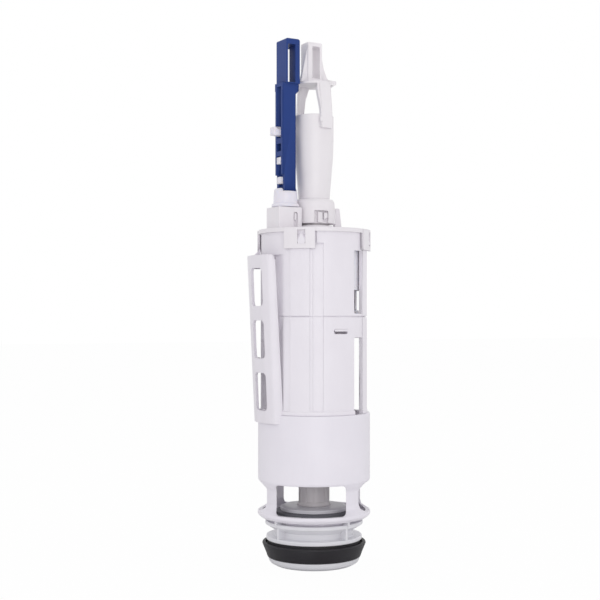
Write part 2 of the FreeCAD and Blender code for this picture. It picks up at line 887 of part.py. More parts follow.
def overflow_tube():
    pipe = turned([(tube_bore_r, tube_low), (tube_r, tube_low), (tube_r, clamp_top),
                   (tube_foot_r, clamp_top), (tube_rib_r, clamp_top + tube_foot_height, edge_round),
                   (tube_r, clamp_top + tube_foot_height), (tube_r, tube_top),
                   (tube_bore_r, tube_top)])
    ribs = []
    for index in range(tube_rib_count):
        width_angle = math.degrees(tube_rib_width / tube_rib_r)
        ribs.append(sector(tube_r - embed, tube_rib_r, clamp_top + embed, tube_rib_top,
                           (index + 0.5) * 360.0 / tube_rib_count, width_angle))
    return fused([pipe] + ribs)


def main_seal():
    inner = tube_r + pin_gap
    ridge = main_seal_r - main_seal_lip
    return turned([
        (inner, seat_top), (main_seal_r - main_seal_bevel, seat_top),
        (main_seal_r, seat_top + main_seal_ridge_thick / 2),
        (main_seal_r, seat_top + main_seal_ridge_thick, hair_round),
        (ridge + ridge_foot_reach, seat_top + main_seal_ridge_thick + ridge_foot_rise),
        (ridge + ridge_top_reach, seat_top + main_seal_ridge_thick + ridge_outer_rise, hair_round),
        (ridge, seat_top + main_seal_ridge_thick + ridge_inner_rise),
        (ridge - ridge_back, seal_foot), (inner, seal_foot)])


def seal_clamp_disc():
    inner = tube_r + pin_gap
    return turned([(inner, seal_foot), (clamp_r, seal_foot),
                   (clamp_r, clamp_top - clamp_edge, small_round),
                   (clamp_r - clamp_bevel, clamp_top, edge_round), (inner, clamp_top)])


def seal_lock_nut():
    """Nut under the seal, with fins that guide it in the water way."""
    inner = tube_r + pin_gap
    nut_low = seat_top - nut_height
    solids = [ring(inner, nut_r, nut_low, seat_top),
              ring(inner, inner + nut_sleeve_wall, tube_low, nut_low + embed)]
    fin_r = water_bore_r - pass_gap
    for index in range(nut_fin_count):
        fin = block(-nut_fin_thick / 2, nut_fin_thick / 2, -fin_r, -inner - nut_fin_sink, tube_low,
                    seat_top)
        solids.append(around(fin, nut_fin_angle + index * 360.0 / nut_fin_count))
    return fused(solids)


def main_float():
    """Bell open at the bottom, which traps air round the tube."""
    inner = tube_rib_r + pin_gap
    return turned([
        (inner, main_float_low), (inner + float_wall, main_float_low),
        (inner + float_wall, main_float_top - float_wall), (main_float_r - float_wall,
                                                            main_float_top - float_wall),
        (main_float_r - float_wall, main_float_low), (main_float_r, main_float_low),
        (main_float_r, main_float_top, main_float_round), (inner, main_float_top)])


def float_ring():
    inner = tube_rib_r + pin_gap
    return turned([(inner, main_float_top), (float_ring_r, main_float_top),
                   (float_ring_r, main_float_top + float_ring_height, rim_round),
                   (inner, main_float_top + float_ring_height)])


def lift_collar():
    inner = tube_rib_r + pin_gap
    hub_low = lift_collar_low + lift_collar_thick / 2 - lift_collar_hub_height / 2
    return turned([
        (inner, hub_low), (lift_collar_hub_r, hub_low), (lift_collar_hub_r, lift_collar_low),
        (lift_collar_r, lift_collar_low, small_round),
        (lift_collar_r, lift_collar_low + lift_collar_thick, small_round),
        (lift_collar_hub_r, lift_collar_low + lift_collar_thick),
        (lift_collar_hub_r, hub_low + lift_collar_hub_height),
        (inner, hub_low + lift_collar_hub_height)])


def funnel_lock_sleeve():
    """Sleeve that locks the funnel on the tube, with a window for its hook."""
    inner = tube_r + pin_gap
    socket = funnel_foot_r + pin_gap
    body = turned([
        (inner, sleeve_low), (sleeve_low_r, sleeve_low, hair_round),
        (sleeve_low_r, sleeve_low + sleeve_foot_height, sleeve_foot_round),
        (sleeve_top_r + sleeve_taper, sleeve_top - sleeve_shoulder, sleeve_shoulder_round),
        (sleeve_top_r - sleeve_rim_step, sleeve_top, small_round), (socket, sleeve_top),
        (socket, tube_top),
        (inner, tube_top)])
    half = sleeve_window_width / 2
    window = prism_y([(-half, sleeve_low - overrun), (half, sleeve_low - overrun),
                      (half, sleeve_window_top, sleeve_window_round),
                      (-half, sleeve_window_top, sleeve_window_round)],
                     -sleeve_low_r - overrun, -inner - sleeve_window_floor)
    hook_half = half - sleeve_hook_side
    hook = prism_y([(-hook_half, sleeve_low + sleeve_hook_drop),
                    (hook_half - sleeve_hook_slant, sleeve_low + sleeve_hook_drop),
                    (hook_half, sleeve_low + sleeve_hook_slant_top, soft_round),
                    (hook_half, sleeve_window_top - sleeve_hook_right_gap, soft_round),
                    (-hook_half, sleeve_window_top - sleeve_hook_left_gap, edge_round)],
                   -sleeve_low_r + sleeve_hook_recess, -inner - embed)
    turn = sleeve_window_angle + sleeve_hook_turn
    return fused([body.cut(around(window, turn)), around(hook, turn)])


def funnel_outline():
    wall = funnel_wall
    throat = sleeve_top + funnel_wall
    straight = funnel_waist + funnel_mouth_bend
    return [
        (tube_bore_r, tube_top), (funnel_foot_r, tube_top),
        (funnel_foot_r, throat, funnel_throat_bend), (funnel_waist_r, funnel_waist, funnel_waist_bend),
        (funnel_mouth_r, straight, funnel_mouth_bend), (funnel_mouth_r, funnel_mouth, edge_round),
        (funnel_mouth_inner_r, funnel_mouth, hair_round),
        (funnel_mouth_inner_r, straight, funnel_mouth_bend),
        (funnel_waist_r - wall, funnel_waist, funnel_waist_bend),
        (tube_bore_r, throat, funnel_throat_bend)]


def overflow_funnel():
    body = turned(funnel_outline())
    for turn in (head_leg_turn, head_leg_turn + 180.0):
        notch = block(-head_hook_width / 2 - snap_gap, head_hook_width / 2 + snap_gap,
                      -funnel_mouth_r - overrun, -funnel_mouth_inner_r + overrun,
                      head_hook_low - snap_gap, head_hook_low + head_hook_height + snap_gap)
        body = body.cut(around(notch, turn))
    return body


def head_leg():
    """One leg of the pull head at the front, with the hook that snaps into the funnel."""
    inner_r = funnel_mouth_r + snap_gap
    outer_r = inner_r + head_leg_thick
    disc_top = head_disc_low + head_disc_thick
    bend = funnel_mouth + head_leg_thick / 2
    wall = turned([(inner_r, head_leg_low), (outer_r, head_leg_low), (outer_r, bend, head_leg_bend),
                   (head_disc_r - snap_gap, head_disc_low),
                   (head_disc_r - snap_gap, disc_top - head_leg_sink),
                   (head_disc_r - head_leg_thick, disc_top - head_leg_sink),
                   (head_disc_r - head_leg_thick, head_disc_low), (inner_r, bend, head_leg_bend)])
    half = head_leg_width / 2
    top_half = head_leg_top_width / 2
    slab = prism_y([(-half, head_leg_low, soft_round), (half, head_leg_low, soft_round),
                    (half, funnel_mouth + head_leg_flare), (top_half, head_disc_low),
                    (top_half, disc_top),
                    (-top_half, disc_top), (-top_half, head_disc_low),
                    (-half, funnel_mouth + head_leg_flare)],
                   -outer_r - overrun, -inner_r / 2)
    hook = block(-head_hook_width / 2, head_hook_width / 2, -inner_r - embed,
                 -funnel_mouth_inner_r - head_hook_gap, head_hook_low, head_hook_low + head_hook_height)
    return fused([wall.common(slab), hook])


def full_flush_pull_head():
    disc_top = head_disc_low + head_disc_thick
    disc = turned([(0, head_disc_low), (head_disc_r, head_disc_low, edge_round),
                   (head_disc_r, disc_top, soft_round), (0, disc_top)])
    ear = block(0, head_disc_r + head_ear_reach, -head_ear_width / 2, head_ear_width / 2,
                disc_top - head_ear_thick, disc_top)
    post = centred_block(head_post_shift_x, head_post_width, head_post_depth,
                         disc_top - embed, head_post_top)
    post = post.makeFillet(head_post_round, [edge for edge in post.Edges
                                 if edge.BoundBox.ZMin > head_post_top - pick_margin])
    gusset_low_half = head_post_width / 2 + gusset_reach
    gusset = prism_y([(head_post_shift_x - gusset_low_half, disc_top - embed),
                      (head_post_shift_x + gusset_low_half, disc_top - embed),
                      (head_post_shift_x + head_post_width / 2, gusset_top),
                      (head_post_shift_x - head_post_width / 2, gusset_top)],
                     gusset_thick / 2, gusset_thick / 2 + gusset_thick)
    slot = prism_y([(head_post_shift_x - head_slot_width / 2, head_slot_low, edge_round),
                    (head_post_shift_x + head_slot_width / 2, head_slot_low, edge_round),
                    (head_post_shift_x + head_slot_width / 2, head_slot_high, edge_round),
                    (head_post_shift_x - head_slot_width / 2, head_slot_high, edge_round)],
                   -head_post_depth, head_post_depth)
    legs = [around(head_leg(), head_leg_turn), around(head_leg(), head_leg_turn + 180.0)]
    body = fused([disc, ear, post, gusset] + legs)
    return body.cut(slot)


def half_flush_rod():
    """Natural plastic rod: stem, collar over the turret and the tabs in the bar."""
    flange_top = rod_flange_low + rod_flange_thick
    collar = turned([(0, rod_flange_low), (rod_flange_r, rod_flange_low, small_round),
                     (rod_flange_r, flange_top, small_round),
                     (rod_collar_r, flange_top + rod_collar_rise, soft_round),
                     (rod_collar_r - rod_collar_taper, rod_collar_top, rod_collar_round),
                     (0, rod_collar_top)])
    collar.translate(Vector(rod_x, 0, 0))
    trim = block(-sleeve_clear_r - snap_gap, 0, -rod_flange_r - overrun, rod_flange_r + overrun,
                 rod_flange_low - overrun, rod_collar_top + overrun)
    bar_pocket = centred_block(rod_x, bar_width + 2 * snap_gap, bar_depth + 2 * snap_gap,
                               bar_low - snap_gap, rod_collar_top + overrun)
    collar = collar.cut(trim).cut(bar_pocket)
    left_x = rod_x - bar_width / 2
    right_x = rod_x + bar_width / 2
    core_depth = bar_channel_width - 2 * snap_gap
    core = block(left_x + bar_web_inner + snap_gap, right_x - bar_wall - snap_gap,
                 -core_depth / 2, core_depth / 2, rod_collar_top - rod_core_sink, long_tab_top())
    stem = centred_block(rod_x, stem_width, stem_depth, fork_low + fork_socket_wall + snap_gap,
                         rod_collar_top - rod_stem_sink)
    tab_depth = core_depth - 2 * tab_gap
    long_tab = block(left_x - long_tab_reach, rod_x, -tab_depth / 2, tab_depth / 2,
                     long_tab_low, long_tab_top())
    long_tab = round_tab_end(long_tab, left_x - long_tab_reach)
    tabs = [long_tab]
    for low in tab_lows:
        tabs.append(block(left_x - tab_gap, rod_x, -tab_depth / 2, tab_depth / 2, low,
                          low + tab_height))
    tabs.append(block(rod_x, right_x + tongue_reach, -tongue_depth / 2, tongue_depth / 2,
                      long_tab_low, long_tab_low + tongue_height))
    body = fused([collar, core, stem] + tabs)
    return body.cut(fork_pin_rod(fork_pin_r + pin_gap, 2 * stem_depth))


def long_tab_top():
    return long_tab_low + long_tab_height


def round_tab_end(tab, end_x):
    """Rounds the edges round the free end of the long tab."""
    edges = [edge for edge in tab.Edges if edge.BoundBox.XMax < end_x + pick_margin]
    return tab.makeFillet(tab_round, edges)


def half_flush_pull_bar():
    """Blue bar: box section with windows on its left, shoulder and slotted head."""
    left_x = rod_x - bar_width / 2
    right_x = rod_x + bar_width / 2
    bar = centred_block(rod_x, bar_width, bar_depth, bar_low, bar_head_low + embed)
    bar = round_upright_edges(bar, bar_round)
    half = bar_channel_width / 2
    pocket = block(left_x + bar_wall, left_x + bar_web_inner - bar_web_thick, -half, half,
                   bar_low - overrun, bar_channel_top)
    core = block(left_x + bar_web_inner, right_x - bar_wall, -half, half, bar_low - overrun,
                 long_tab_low + tongue_height + overrun)
    bar = bar.cut(pocket).cut(core)
    for low, height in ((long_tab_low, long_tab_height), (tab_lows[0], tab_height),
                        (tab_lows[1], tab_height)):
        bar = bar.cut(block(left_x + bar_wall, left_x + bar_web_inner + embed, -half, half,
                            low - snap_gap, low + height + snap_gap))
    windows = [(bar_channel_low, bar_channel_top), (bar_window_low, bar_window_top),
               (bar_low - overrun, bar_mouth_top)]
    for low, high in windows:
        bar = bar.cut(block(left_x - overrun, left_x + bar_wall + embed, -half, half, low, high))
    bar = bar.cut(block(left_x - overrun, left_x + bar_foot_recess, -bar_depth, bar_depth,
                        bar_low - overrun, bar_left_low))
    bar = bar.cut(block(right_x - bar_wall - embed, right_x + overrun, -tongue_depth / 2 - snap_gap,
                        tongue_depth / 2 + snap_gap, long_tab_low - snap_gap,
                        long_tab_low + tongue_height + snap_gap))
    head_x = rod_x + bar_head_shift
    head = centred_block(head_x, bar_head_width, bar_head_depth, bar_head_low, bar_head_top)
    head = head.makeFillet(bar_head_round, [edge for edge in head.Edges
                                            if edge.BoundBox.ZMin > bar_head_top - pick_margin])
    shoulder = prism_y([(left_x, bar_shoulder), (right_x, bar_shoulder - bar_shoulder_slope),
                        (head_x + bar_head_width / 2, bar_shoulder),
                        (head_x + bar_head_width / 2, bar_head_low + embed),
                        (left_x, bar_head_low + embed)], -bar_depth / 2, bar_depth / 2)
    shoulder = shoulder.cut(block(left_x - overrun, left_x + bar_web_inner - bar_web_thick, -half, half,
                                  bar_shoulder - bar_shoulder_cut, bar_channel_top))
    slot = block(head_x - bar_head_slot_width / 2, head_x + bar_head_slot_width / 2,
                 -bar_head_depth, bar_head_depth, bar_head_slot_low, bar_head_slot_high)
    return fused([bar, shoulder, head]).cut(slot)


def lift_fork():
    """Fork on the foot of the rod, whose arms lie under the collar of the tube."""
    inner_r = lift_collar_r + pass_gap
    outer_r = inner_r + fork_arm_width
    arms = sector(inner_r, outer_r, fork_plate_low, fork_plate_top, -90.0, 2 * fork_half_angle)
    socket_width = stem_width + 2 * (snap_gap + fork_socket_wall)
    socket_depth = stem_depth + 2 * (snap_gap + fork_socket_wall)
    socket = centred_block(rod_x, socket_width, socket_depth, fork_low, fork_plate_top)
    socket = round_upright_edges(socket, broad_round)
    pocket = centred_block(rod_x, stem_width + 2 * snap_gap, stem_depth + 2 * snap_gap,
                           fork_low + fork_socket_wall, fork_plate_top + overrun)
    passage = Part.makeCylinder(inner_r, fork_plate_top - fork_low + 2 * overrun,
                                Vector(0, 0, fork_low - overrun))
    body = fused([arms, socket]).cut(pocket).cut(passage)
    return body.cut(fork_pin_rod(fork_pin_r + pin_gap, 2 * socket_depth))


def fork_pin_rod(radius, length):
    return Part.makeCylinder(radius, length, Vector(rod_x, -length / 2, fork_pin_height),
                             Vector(0, 1, 0))


def fork_pin():
    return fork_pin_rod(fork_pin_r, stem_depth + 2 * (snap_gap + fork_socket_wall + fork_pin_reach))


def half_flush_float():
    """Curved bell beside the tube, with two stalk sleeves and a leg for the latch."""
    bell = sector(half_float_inner_r, half_float_r, half_float_low, half_float_top,
                  90.0, half_float_angle)
    bell = bell.makeFillet(broad_round, [edge for edge in bell.Edges
                                 if edge.BoundBox.ZMin > half_float_top - pick_margin])
    inner_cut = half_float_angle - 2 * math.degrees(half_float_wall / half_float_inner_r)
    hollow = sector(half_float_inner_r + half_float_wall, half_float_r - half_float_wall,
                    half_float_low - overrun, half_float_top - half_float_wall, 90.0, inner_cut)
    solids = [bell.cut(hollow)]
    bores = []
    for angle in stalk_angles:
        sleeve_r = stalk_r + slide_gap + stalk_sleeve_wall
        height = half_float_top - half_float_low
        place = Vector(0, -stalk_place_r, half_float_low)
        solids.append(around(Part.makeCylinder(sleeve_r, height - embed, place), angle))
        place = Vector(0, -stalk_place_r, half_float_low - overrun)
        bores.append(around(Part.makeCylinder(stalk_r + slide_gap, height + 2 * overrun, place), angle))
    leg = block(leg_outer_x - leg_thick, leg_outer_x, -leg_width / 2, leg_width / 2,
                leg_low, half_float_low + leg_rise)
    window = block(leg_outer_x - leg_thick - overrun, leg_outer_x + overrun, -leg_window_width / 2,
                   leg_window_width / 2, leg_window_low, leg_window_low + leg_window_height)
    solids.append(leg.cut(window))
    body = fused(solids)
    for bore in bores:
        body = body.cut(bore)
    return body


def latch_bracket():
    """Cross bar and two ears inside the upper tier, which carry the latch pin."""
    back_r = lap_inner_r - snap_gap
    bar = sector(back_r - bracket_bar_thick, back_r, bracket_low, bracket_low + bracket_bar_height,
                 90.0, bracket_bar_angle)
    ear_inner = latch_half_width + ear_gap
    ears = []
    for side in (-1, 1):
        low_y = min(side * ear_inner, side * (ear_inner + ear_thick))
        ear = block(pivot_x - latch_hub_r, back_r + 2 * overrun, low_y, low_y + ear_thick,
                    bracket_low, ear_top)
        ears.append(ear.common(Part.makeCylinder(back_r, ear_top, origin)))
    body = fused([bar] + ears)
    return body.cut(cross_pin(latch_pin_r + pin_gap, -2 * latch_half_width, 2 * latch_half_width))


def cross_pin(radius, y_low, y_high):
    return Part.makeCylinder(radius, y_high - y_low, Vector(pivot_x, y_low, pivot_z),
                             Vector(0, 1, 0))


def latch_pin():
    end = latch_half_width + ear_gap + ear_thick
    shank = cross_pin(latch_pin_r, -end, end + latch_pin_reach)
    head = cross_pin(latch_pin_head_r, -end - latch_pin_head, -end)
    return fused([shank, head])


def latch_lever():
    """Bell crank: its nose sits in the float's leg, its hook stands beside the collar."""
    hub = cross_pin(latch_hub_r, -latch_half_width, latch_half_width)
    arm_z = pivot_z + arm_height
    arm_end = leg_outer_x - leg_thick - arm_space
    arm = prism_y([(pivot_x, arm_z - arm_thick / 2), (arm_end, arm_z - arm_thick / 2),
                   (arm_end, arm_z + arm_thick / 2), (pivot_x, arm_z + arm_thick / 2)],
                  -arm_width / 2, arm_width / 2)
    nose = prism_y([(arm_end - embed, arm_z - arm_thick / 2),
                    (pivot_x + nose_reach, arm_z - nose_half_height),
                    (pivot_x + nose_reach, arm_z + nose_half_height),
                    (arm_end - embed, arm_z + arm_thick / 2)],
                   -nose_width / 2, nose_width / 2)
    tip_x = pivot_x - hook_tip_back
    hook = prism_y([(pivot_x - latch_hub_r + hook_root_inset, pivot_z), (pivot_x + hook_slant, pivot_z),
                    (tip_x + hook_thick + hook_slant, pivot_z + hook_tip_height - hook_back_drop,
                     hook_back_round),
                    (tip_x + hook_thick, pivot_z + hook_tip_height, rim_round),
                    (tip_x, pivot_z + hook_tip_height, hair_round),
                    (tip_x, pivot_z + hook_tip_height - hook_tip_thick),
                    (tip_x + hook_undercut, pivot_z + hook_tip_height - 2 * hook_tip_thick,
                     soft_round)],
                   -hook_half_width, hook_half_width)
    body = fused([hub, arm, nose, hook])
    return body.cut(cross_pin(latch_pin_r + pin_gap, -2 * latch_half_width, 2 * latch_half_width))


sub_parts = (
    outlet_base, outlet_seal, cage_cup, lower_barrel, upper_barrel, side_guard, top_cap,
    half_flush_guide, latch_bracket, latch_pin, overflow_tube, seal_lock_nut, main_seal,
    seal_clamp_disc, main_float, float_ring, lift_collar, funnel_lock_sleeve, overflow_funnel,
    full_flush_pull_head, half_flush_rod, half_flush_pull_bar, lift_fork, fork_pin,
    half_flush_float, latch_lever)

print("flush lift", flush_lift, "float rise", float_rise, "latch swing", round(latch_swing, 2))
os.makedirs("parts", exist_ok=True)
for make in sub_parts:
    shape = make()
    print(make.__name__, len(shape.Solids), round(shape.Volume), shape.isValid())
    shape.exportStep("parts/" + make.__name__ + ".step")
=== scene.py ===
import bpy
import bmesh
import json
import math
import numpy as np
from mathutils import Matrix, Vector

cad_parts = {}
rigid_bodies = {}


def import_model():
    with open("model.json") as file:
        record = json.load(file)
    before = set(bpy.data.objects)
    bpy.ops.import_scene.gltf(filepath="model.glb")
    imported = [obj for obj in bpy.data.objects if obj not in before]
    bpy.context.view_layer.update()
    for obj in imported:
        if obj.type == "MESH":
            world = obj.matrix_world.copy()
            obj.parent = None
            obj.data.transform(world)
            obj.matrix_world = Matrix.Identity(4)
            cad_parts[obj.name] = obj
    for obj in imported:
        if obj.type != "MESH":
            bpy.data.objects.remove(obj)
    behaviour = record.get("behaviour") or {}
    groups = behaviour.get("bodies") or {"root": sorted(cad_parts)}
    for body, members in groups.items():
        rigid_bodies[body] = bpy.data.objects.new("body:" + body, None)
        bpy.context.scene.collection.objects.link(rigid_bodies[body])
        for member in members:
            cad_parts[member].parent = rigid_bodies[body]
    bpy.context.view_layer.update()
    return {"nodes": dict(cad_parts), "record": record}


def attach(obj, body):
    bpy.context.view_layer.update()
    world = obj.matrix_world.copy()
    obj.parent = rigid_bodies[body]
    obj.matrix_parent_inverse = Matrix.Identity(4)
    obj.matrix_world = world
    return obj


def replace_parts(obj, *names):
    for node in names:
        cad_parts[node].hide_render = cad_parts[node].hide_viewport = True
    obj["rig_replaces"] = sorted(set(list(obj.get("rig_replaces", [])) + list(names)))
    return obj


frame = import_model()
print("stage: frame loaded")

scene = bpy.context.scene
mm = 0.001  # sizes of pieces are in millimetres, angles in degrees
fineTurn = 192  # facets round the large turned shells
smallTurn = 96  # facets round tubes and small turned parts
arcSteps = 7  # spans in a square corner of an outline
windowSteps = 8  # the same for a window's corner
windowSpan = 1.0  # longest span along a window's level edges
overrun = 1.0  # how far a cutter runs past the face that it opens
sink = 0.4  # how far a rib reaches into what carries it

# Distances in metres: between vertices that merge where an outline touches the axis, between
# a CAD node's corners that merge, and from a vertex to a plane that it counts as lying on
sameVertex = 1e-7
sameCorner = 2e-6
onPlane = 1e-8

# Corner radii that the outlines share
hairRound = 0.2
fineRound = 0.3
thinRound = 0.4
edgeRound = 0.5
rimRound = 0.6
lipRound = 0.7
softRound = 0.8
fullRound = 0.9
broadRound = 1.0


# Outlines are lists of (across, up) or (across, up, corner radius)
def roundedOutline(corners, steps=arcSteps):
    points = []
    count = len(corners)
    for index in range(count):
        here = Vector(corners[index][:2])
        radius = corners[index][2] if len(corners[index]) > 2 else 0
        if radius == 0:
            points.append(here)
            continue
        toBefore = (Vector(corners[index - 1][:2]) - here).normalized()
        toAfter = (Vector(corners[(index + 1) % count][:2]) - here).normalized()
        halfTurn = toBefore.angle(toAfter) / 2
        centre = here + (toBefore + toAfter).normalized() * (radius / math.sin(halfTurn))
        first = here + toBefore * (radius / math.tan(halfTurn)) - centre
        last = here + toAfter * (radius / math.tan(halfTurn)) - centre
        sweep = first.angle_signed(last)
        number = max(2, round(steps * abs(sweep) / (math.pi / 2)))
        for step in range(number + 1):
            turn = Matrix.Rotation(-sweep * step / number, 2)
            points.append(centre + turn @ first)
    return points


def rectangle(left, right, low, high, corner=0.0, topCorner=None):
    top = corner if topCorner is None else topCorner
    return [(left, low, corner), (right, low, corner), (right, high, top), (left, high, top)]


def newObject(name, bm):
    mesh = bpy.data.meshes.new(name)
    bmesh.ops.recalc_face_normals(bm, faces=bm.faces)
    bm.to_mesh(mesh)
    bm.free()
    made = bpy.data.objects.new(name, mesh)
    scene.collection.objects.link(made)
    return made


# A place on a round wall about Z. Angles run from -Y towards +X
def onWall(radius, angle, height):
    return Vector((radius * math.sin(angle), -radius * math.cos(angle), height)) * mm


# Turns an outline of (radius, height) about Z, all the way or over a width in degrees
def turned(name, corners, segments=fineTurn, middle=0.0, width=360.0):
    profile = roundedOutline(corners)
    bm = bmesh.new()
    whole = width >= 360.0
    steps = segments if whole else max(2, math.ceil(segments * width / 360.0))
    columns = []
    for step in range(steps if whole else steps + 1):
        angle = math.radians(middle - width / 2 + width * step / steps)
        columns.append([bm.verts.new(onWall(radius, angle, height)) for radius, height in profile])
    pairs = len(columns) if whole else len(columns) - 1
    for index in range(pairs):
        left = columns[index]
        right = columns[(index + 1) % len(columns)]
        for row in range(len(profile)):
            after = (row + 1) % len(profile)
            bm.faces.new((left[row], right[row], right[after], left[after]))
    if not whole:
        bm.faces.new(columns[0])
        bm.faces.new(columns[-1])
    bmesh.ops.remove_doubles(bm, verts=bm.verts, dist=sameVertex)
    return newObject(name, bm)


# Pulls an outline of the XZ plane along Y, or one of the XY plane along Z
def prism(name, corners, axis, start, end):
    points = roundedOutline(corners)
    bm = bmesh.new()
    ends = []
    for depth in (start, end):
        places = [(p.x, depth, p.y) if axis == "Y" else (p.x, p.y, depth) for p in points]
        ends.append([bm.verts.new(Vector(place) * mm) for place in places])
    bm.faces.new(ends[0])
    bm.faces.new(list(reversed(ends[1])))
    for index in range(len(points)):
        after = (index + 1) % len(points)
        bm.faces.new((ends[0][index], ends[1][index], ends[1][after], ends[0][after]))
    return newObject(name, bm)


def block(name, left, right, front, back, low, high, corner=0.0):
    return prism(name, rectangle(left, right, front, back, corner), "Z", low, high)


# A window cutter on a round wall, with its corners rounded in the wall's surface
def windowCutter(middle, width, low, high, corner, innerR, outerR, wallR):
    half = math.radians(width / 2) * wallR
    points = roundedOutline(rectangle(-half, half, low, high, corner), windowSteps)
    dense = []
    for index in range(len(points)):
        start = points[index]
        end = points[(index + 1) % len(points)]
        pieces = max(1, math.ceil(abs(end.x - start.x) / windowSpan))
        for piece in range(pieces):
            dense.append(start.lerp(end, piece / pieces))
    bm = bmesh.new()
    rings = []
    for radius in (innerR, outerR):
        rings.append([bm.verts.new(onWall(radius, math.radians(middle) + across / wallR, height))
                      for across, height in dense])
    for index in range(len(dense)):
        after = (index + 1) % len(dense)
        bm.faces.new((rings[0][index], rings[0][after], rings[1][after], rings[1][index]))
    caps = [bm.faces.new(rings[0]), bm.faces.new(list(reversed(rings[1])))]
    bmesh.ops.triangulate(bm, faces=caps)
    return newObject("windowCutter", bm)


# Turns what the modifiers make into a plain mesh
def applied(made):
    graph = bpy.context.evaluated_depsgraph_get()
    mesh = bpy.data.meshes.new_from_object(made.evaluated_get(graph))
    made.modifiers.clear()
    old = made.data
    made.data = mesh
    bpy.data.meshes.remove(old)
    return made


def combined(made, others, operation):
    for other in others:
        modifier = made.modifiers.new("combine", "BOOLEAN")
        modifier.operation = operation
        modifier.solver = "EXACT"
        modifier.object = other
        applied(made)
        bpy.data.objects.remove(other)
    return made


def cut(made, *others):
    return combined(made, others, "DIFFERENCE")


def fuse(made, *others):
    return combined(made, others, "UNION")


def common(made, *others):
    return combined(made, others, "INTERSECT")


def joined(made, *others):
    bm = bmesh.new()
    bm.from_mesh(made.data)
    for other in others:
        bm.from_mesh(other.data)
        bpy.data.objects.remove(other)
    bm.to_mesh(made.data)
    bm.free()
    return made


# Turns a mesh about the valve's axis
def swung(made, angle):
    made.data.transform(Matrix.Rotation(math.radians(angle), 4, "Z"))
    return made


def softEdges(made, width, segments, sharpest=60):
    modifier = made.modifiers.new("edges", "BEVEL")
    modifier.width = width * mm
    modifier.segments = segments
    modifier.limit_method = "ANGLE"
    modifier.angle_limit = math.radians(sharpest)
    return applied(made)


# Geometry Nodes tree that repeats one moulded detail round the valve's axis
def repeatTree():
    tree = bpy.data.node_groups.new("repeatAroundAxis", "GeometryNodeTree")
    sockets = {"Geometry": "NodeSocketGeometry", "Count": "NodeSocketInt", "First Angle": "NodeSocketFloat",
               "Step Angle": "NodeSocketFloat", "Material": "NodeSocketMaterial"}
    for name, kind in sockets.items():
        tree.interface.new_socket(name, in_out="INPUT", socket_type=kind)
    tree.interface.new_socket("Geometry", in_out="OUTPUT", socket_type="NodeSocketGeometry")
    nodes = tree.nodes
    links = tree.links
    source = nodes.new("NodeGroupInput")
    single = nodes.new("GeometryNodeGeometryToInstance")
    copies = nodes.new("GeometryNodeDuplicateElements")
    copies.domain = "INSTANCE"
    angle = nodes.new("ShaderNodeMath")
    angle.operation = "MULTIPLY_ADD"
    spin = nodes.new("ShaderNodeCombineXYZ")
    rotate = nodes.new("GeometryNodeRotateInstances")
    rotate.inputs["Local Space"].default_value = False
    realize = nodes.new("GeometryNodeRealizeInstances")
    finish = nodes.new("GeometryNodeSetMaterial")
    out = nodes.new("NodeGroupOutput")
    links.new(source.outputs["Geometry"], single.inputs["Geometry"])
    links.new(single.outputs["Instances"], copies.inputs["Geometry"])
    links.new(source.outputs["Count"], copies.inputs["Amount"])
    links.new(copies.outputs["Duplicate Index"], angle.inputs[0])
    links.new(source.outputs["Step Angle"], angle.inputs[1])
    links.new(source.outputs["First Angle"], angle.inputs[2])
    links.new(angle.outputs[0], spin.inputs["Z"])
    links.new(copies.outputs["Geometry"], rotate.inputs["Instances"])
    links.new(spin.outputs[0], rotate.inputs["Rotation"])
    links.new(rotate.outputs["Instances"], realize.inputs["Geometry"])
    links.new(realize.outputs["Geometry"], finish.inputs["Geometry"])
    links.new(source.outputs["Material"], finish.inputs["Material"])
    links.new(finish.outputs["Geometry"], out.inputs["Geometry"])
    return tree


aroundAxis = repeatTree()


def repeated(made, count, firstAngle, material):
    modifier = made.modifiers.new("repeat", "NODES")
    modifier.node_group = aroundAxis
    values = {"Count": count, "First Angle": math.radians(firstAngle),
              "Step Angle": math.radians(360 / count), "Material": material}
    for item in aroundAxis.interface.items_tree:
        if item.in_out == "INPUT" and item.name in values:
            modifier[item.identifier] = values[item.name]
    return applied(made)


# Shader maths: wraps a socket, so that an expression adds its Math nodes
class Wire:
    def __init__(self, paint, socket):
        self.paint = paint
        self.socket = socket

    def math(self, operation, first, second):
        return self.paint.node("ShaderNodeMath", {"operation": operation}, {0: first, 1: second})

    def __add__(self, other):
        return self.math("ADD", self, other)

    def __radd__(self, other):
        return self.math("ADD", other, self)

    def __sub__(self, other):
        return self.math("SUBTRACT", self, other)

    def __rsub__(self, other):
        return self.math("SUBTRACT", other, self)

    def __mul__(self, other):
        return self.math("MULTIPLY", self, other)

    def __rmul__(self, other):
        return self.math("MULTIPLY", other, self)

    def __pow__(self, other):
        return self.math("POWER", self, other)

    def __rpow__(self, other):
        return self.math("POWER", other, self)

    def __or__(self, other):  # either of two masks
        return self.math("MAXIMUM", self, other)

    def __ror__(self, other):
        return self.math("MAXIMUM", other, self)


nodeSpacing = 180  # between the nodes of a tree, as its editor shows them


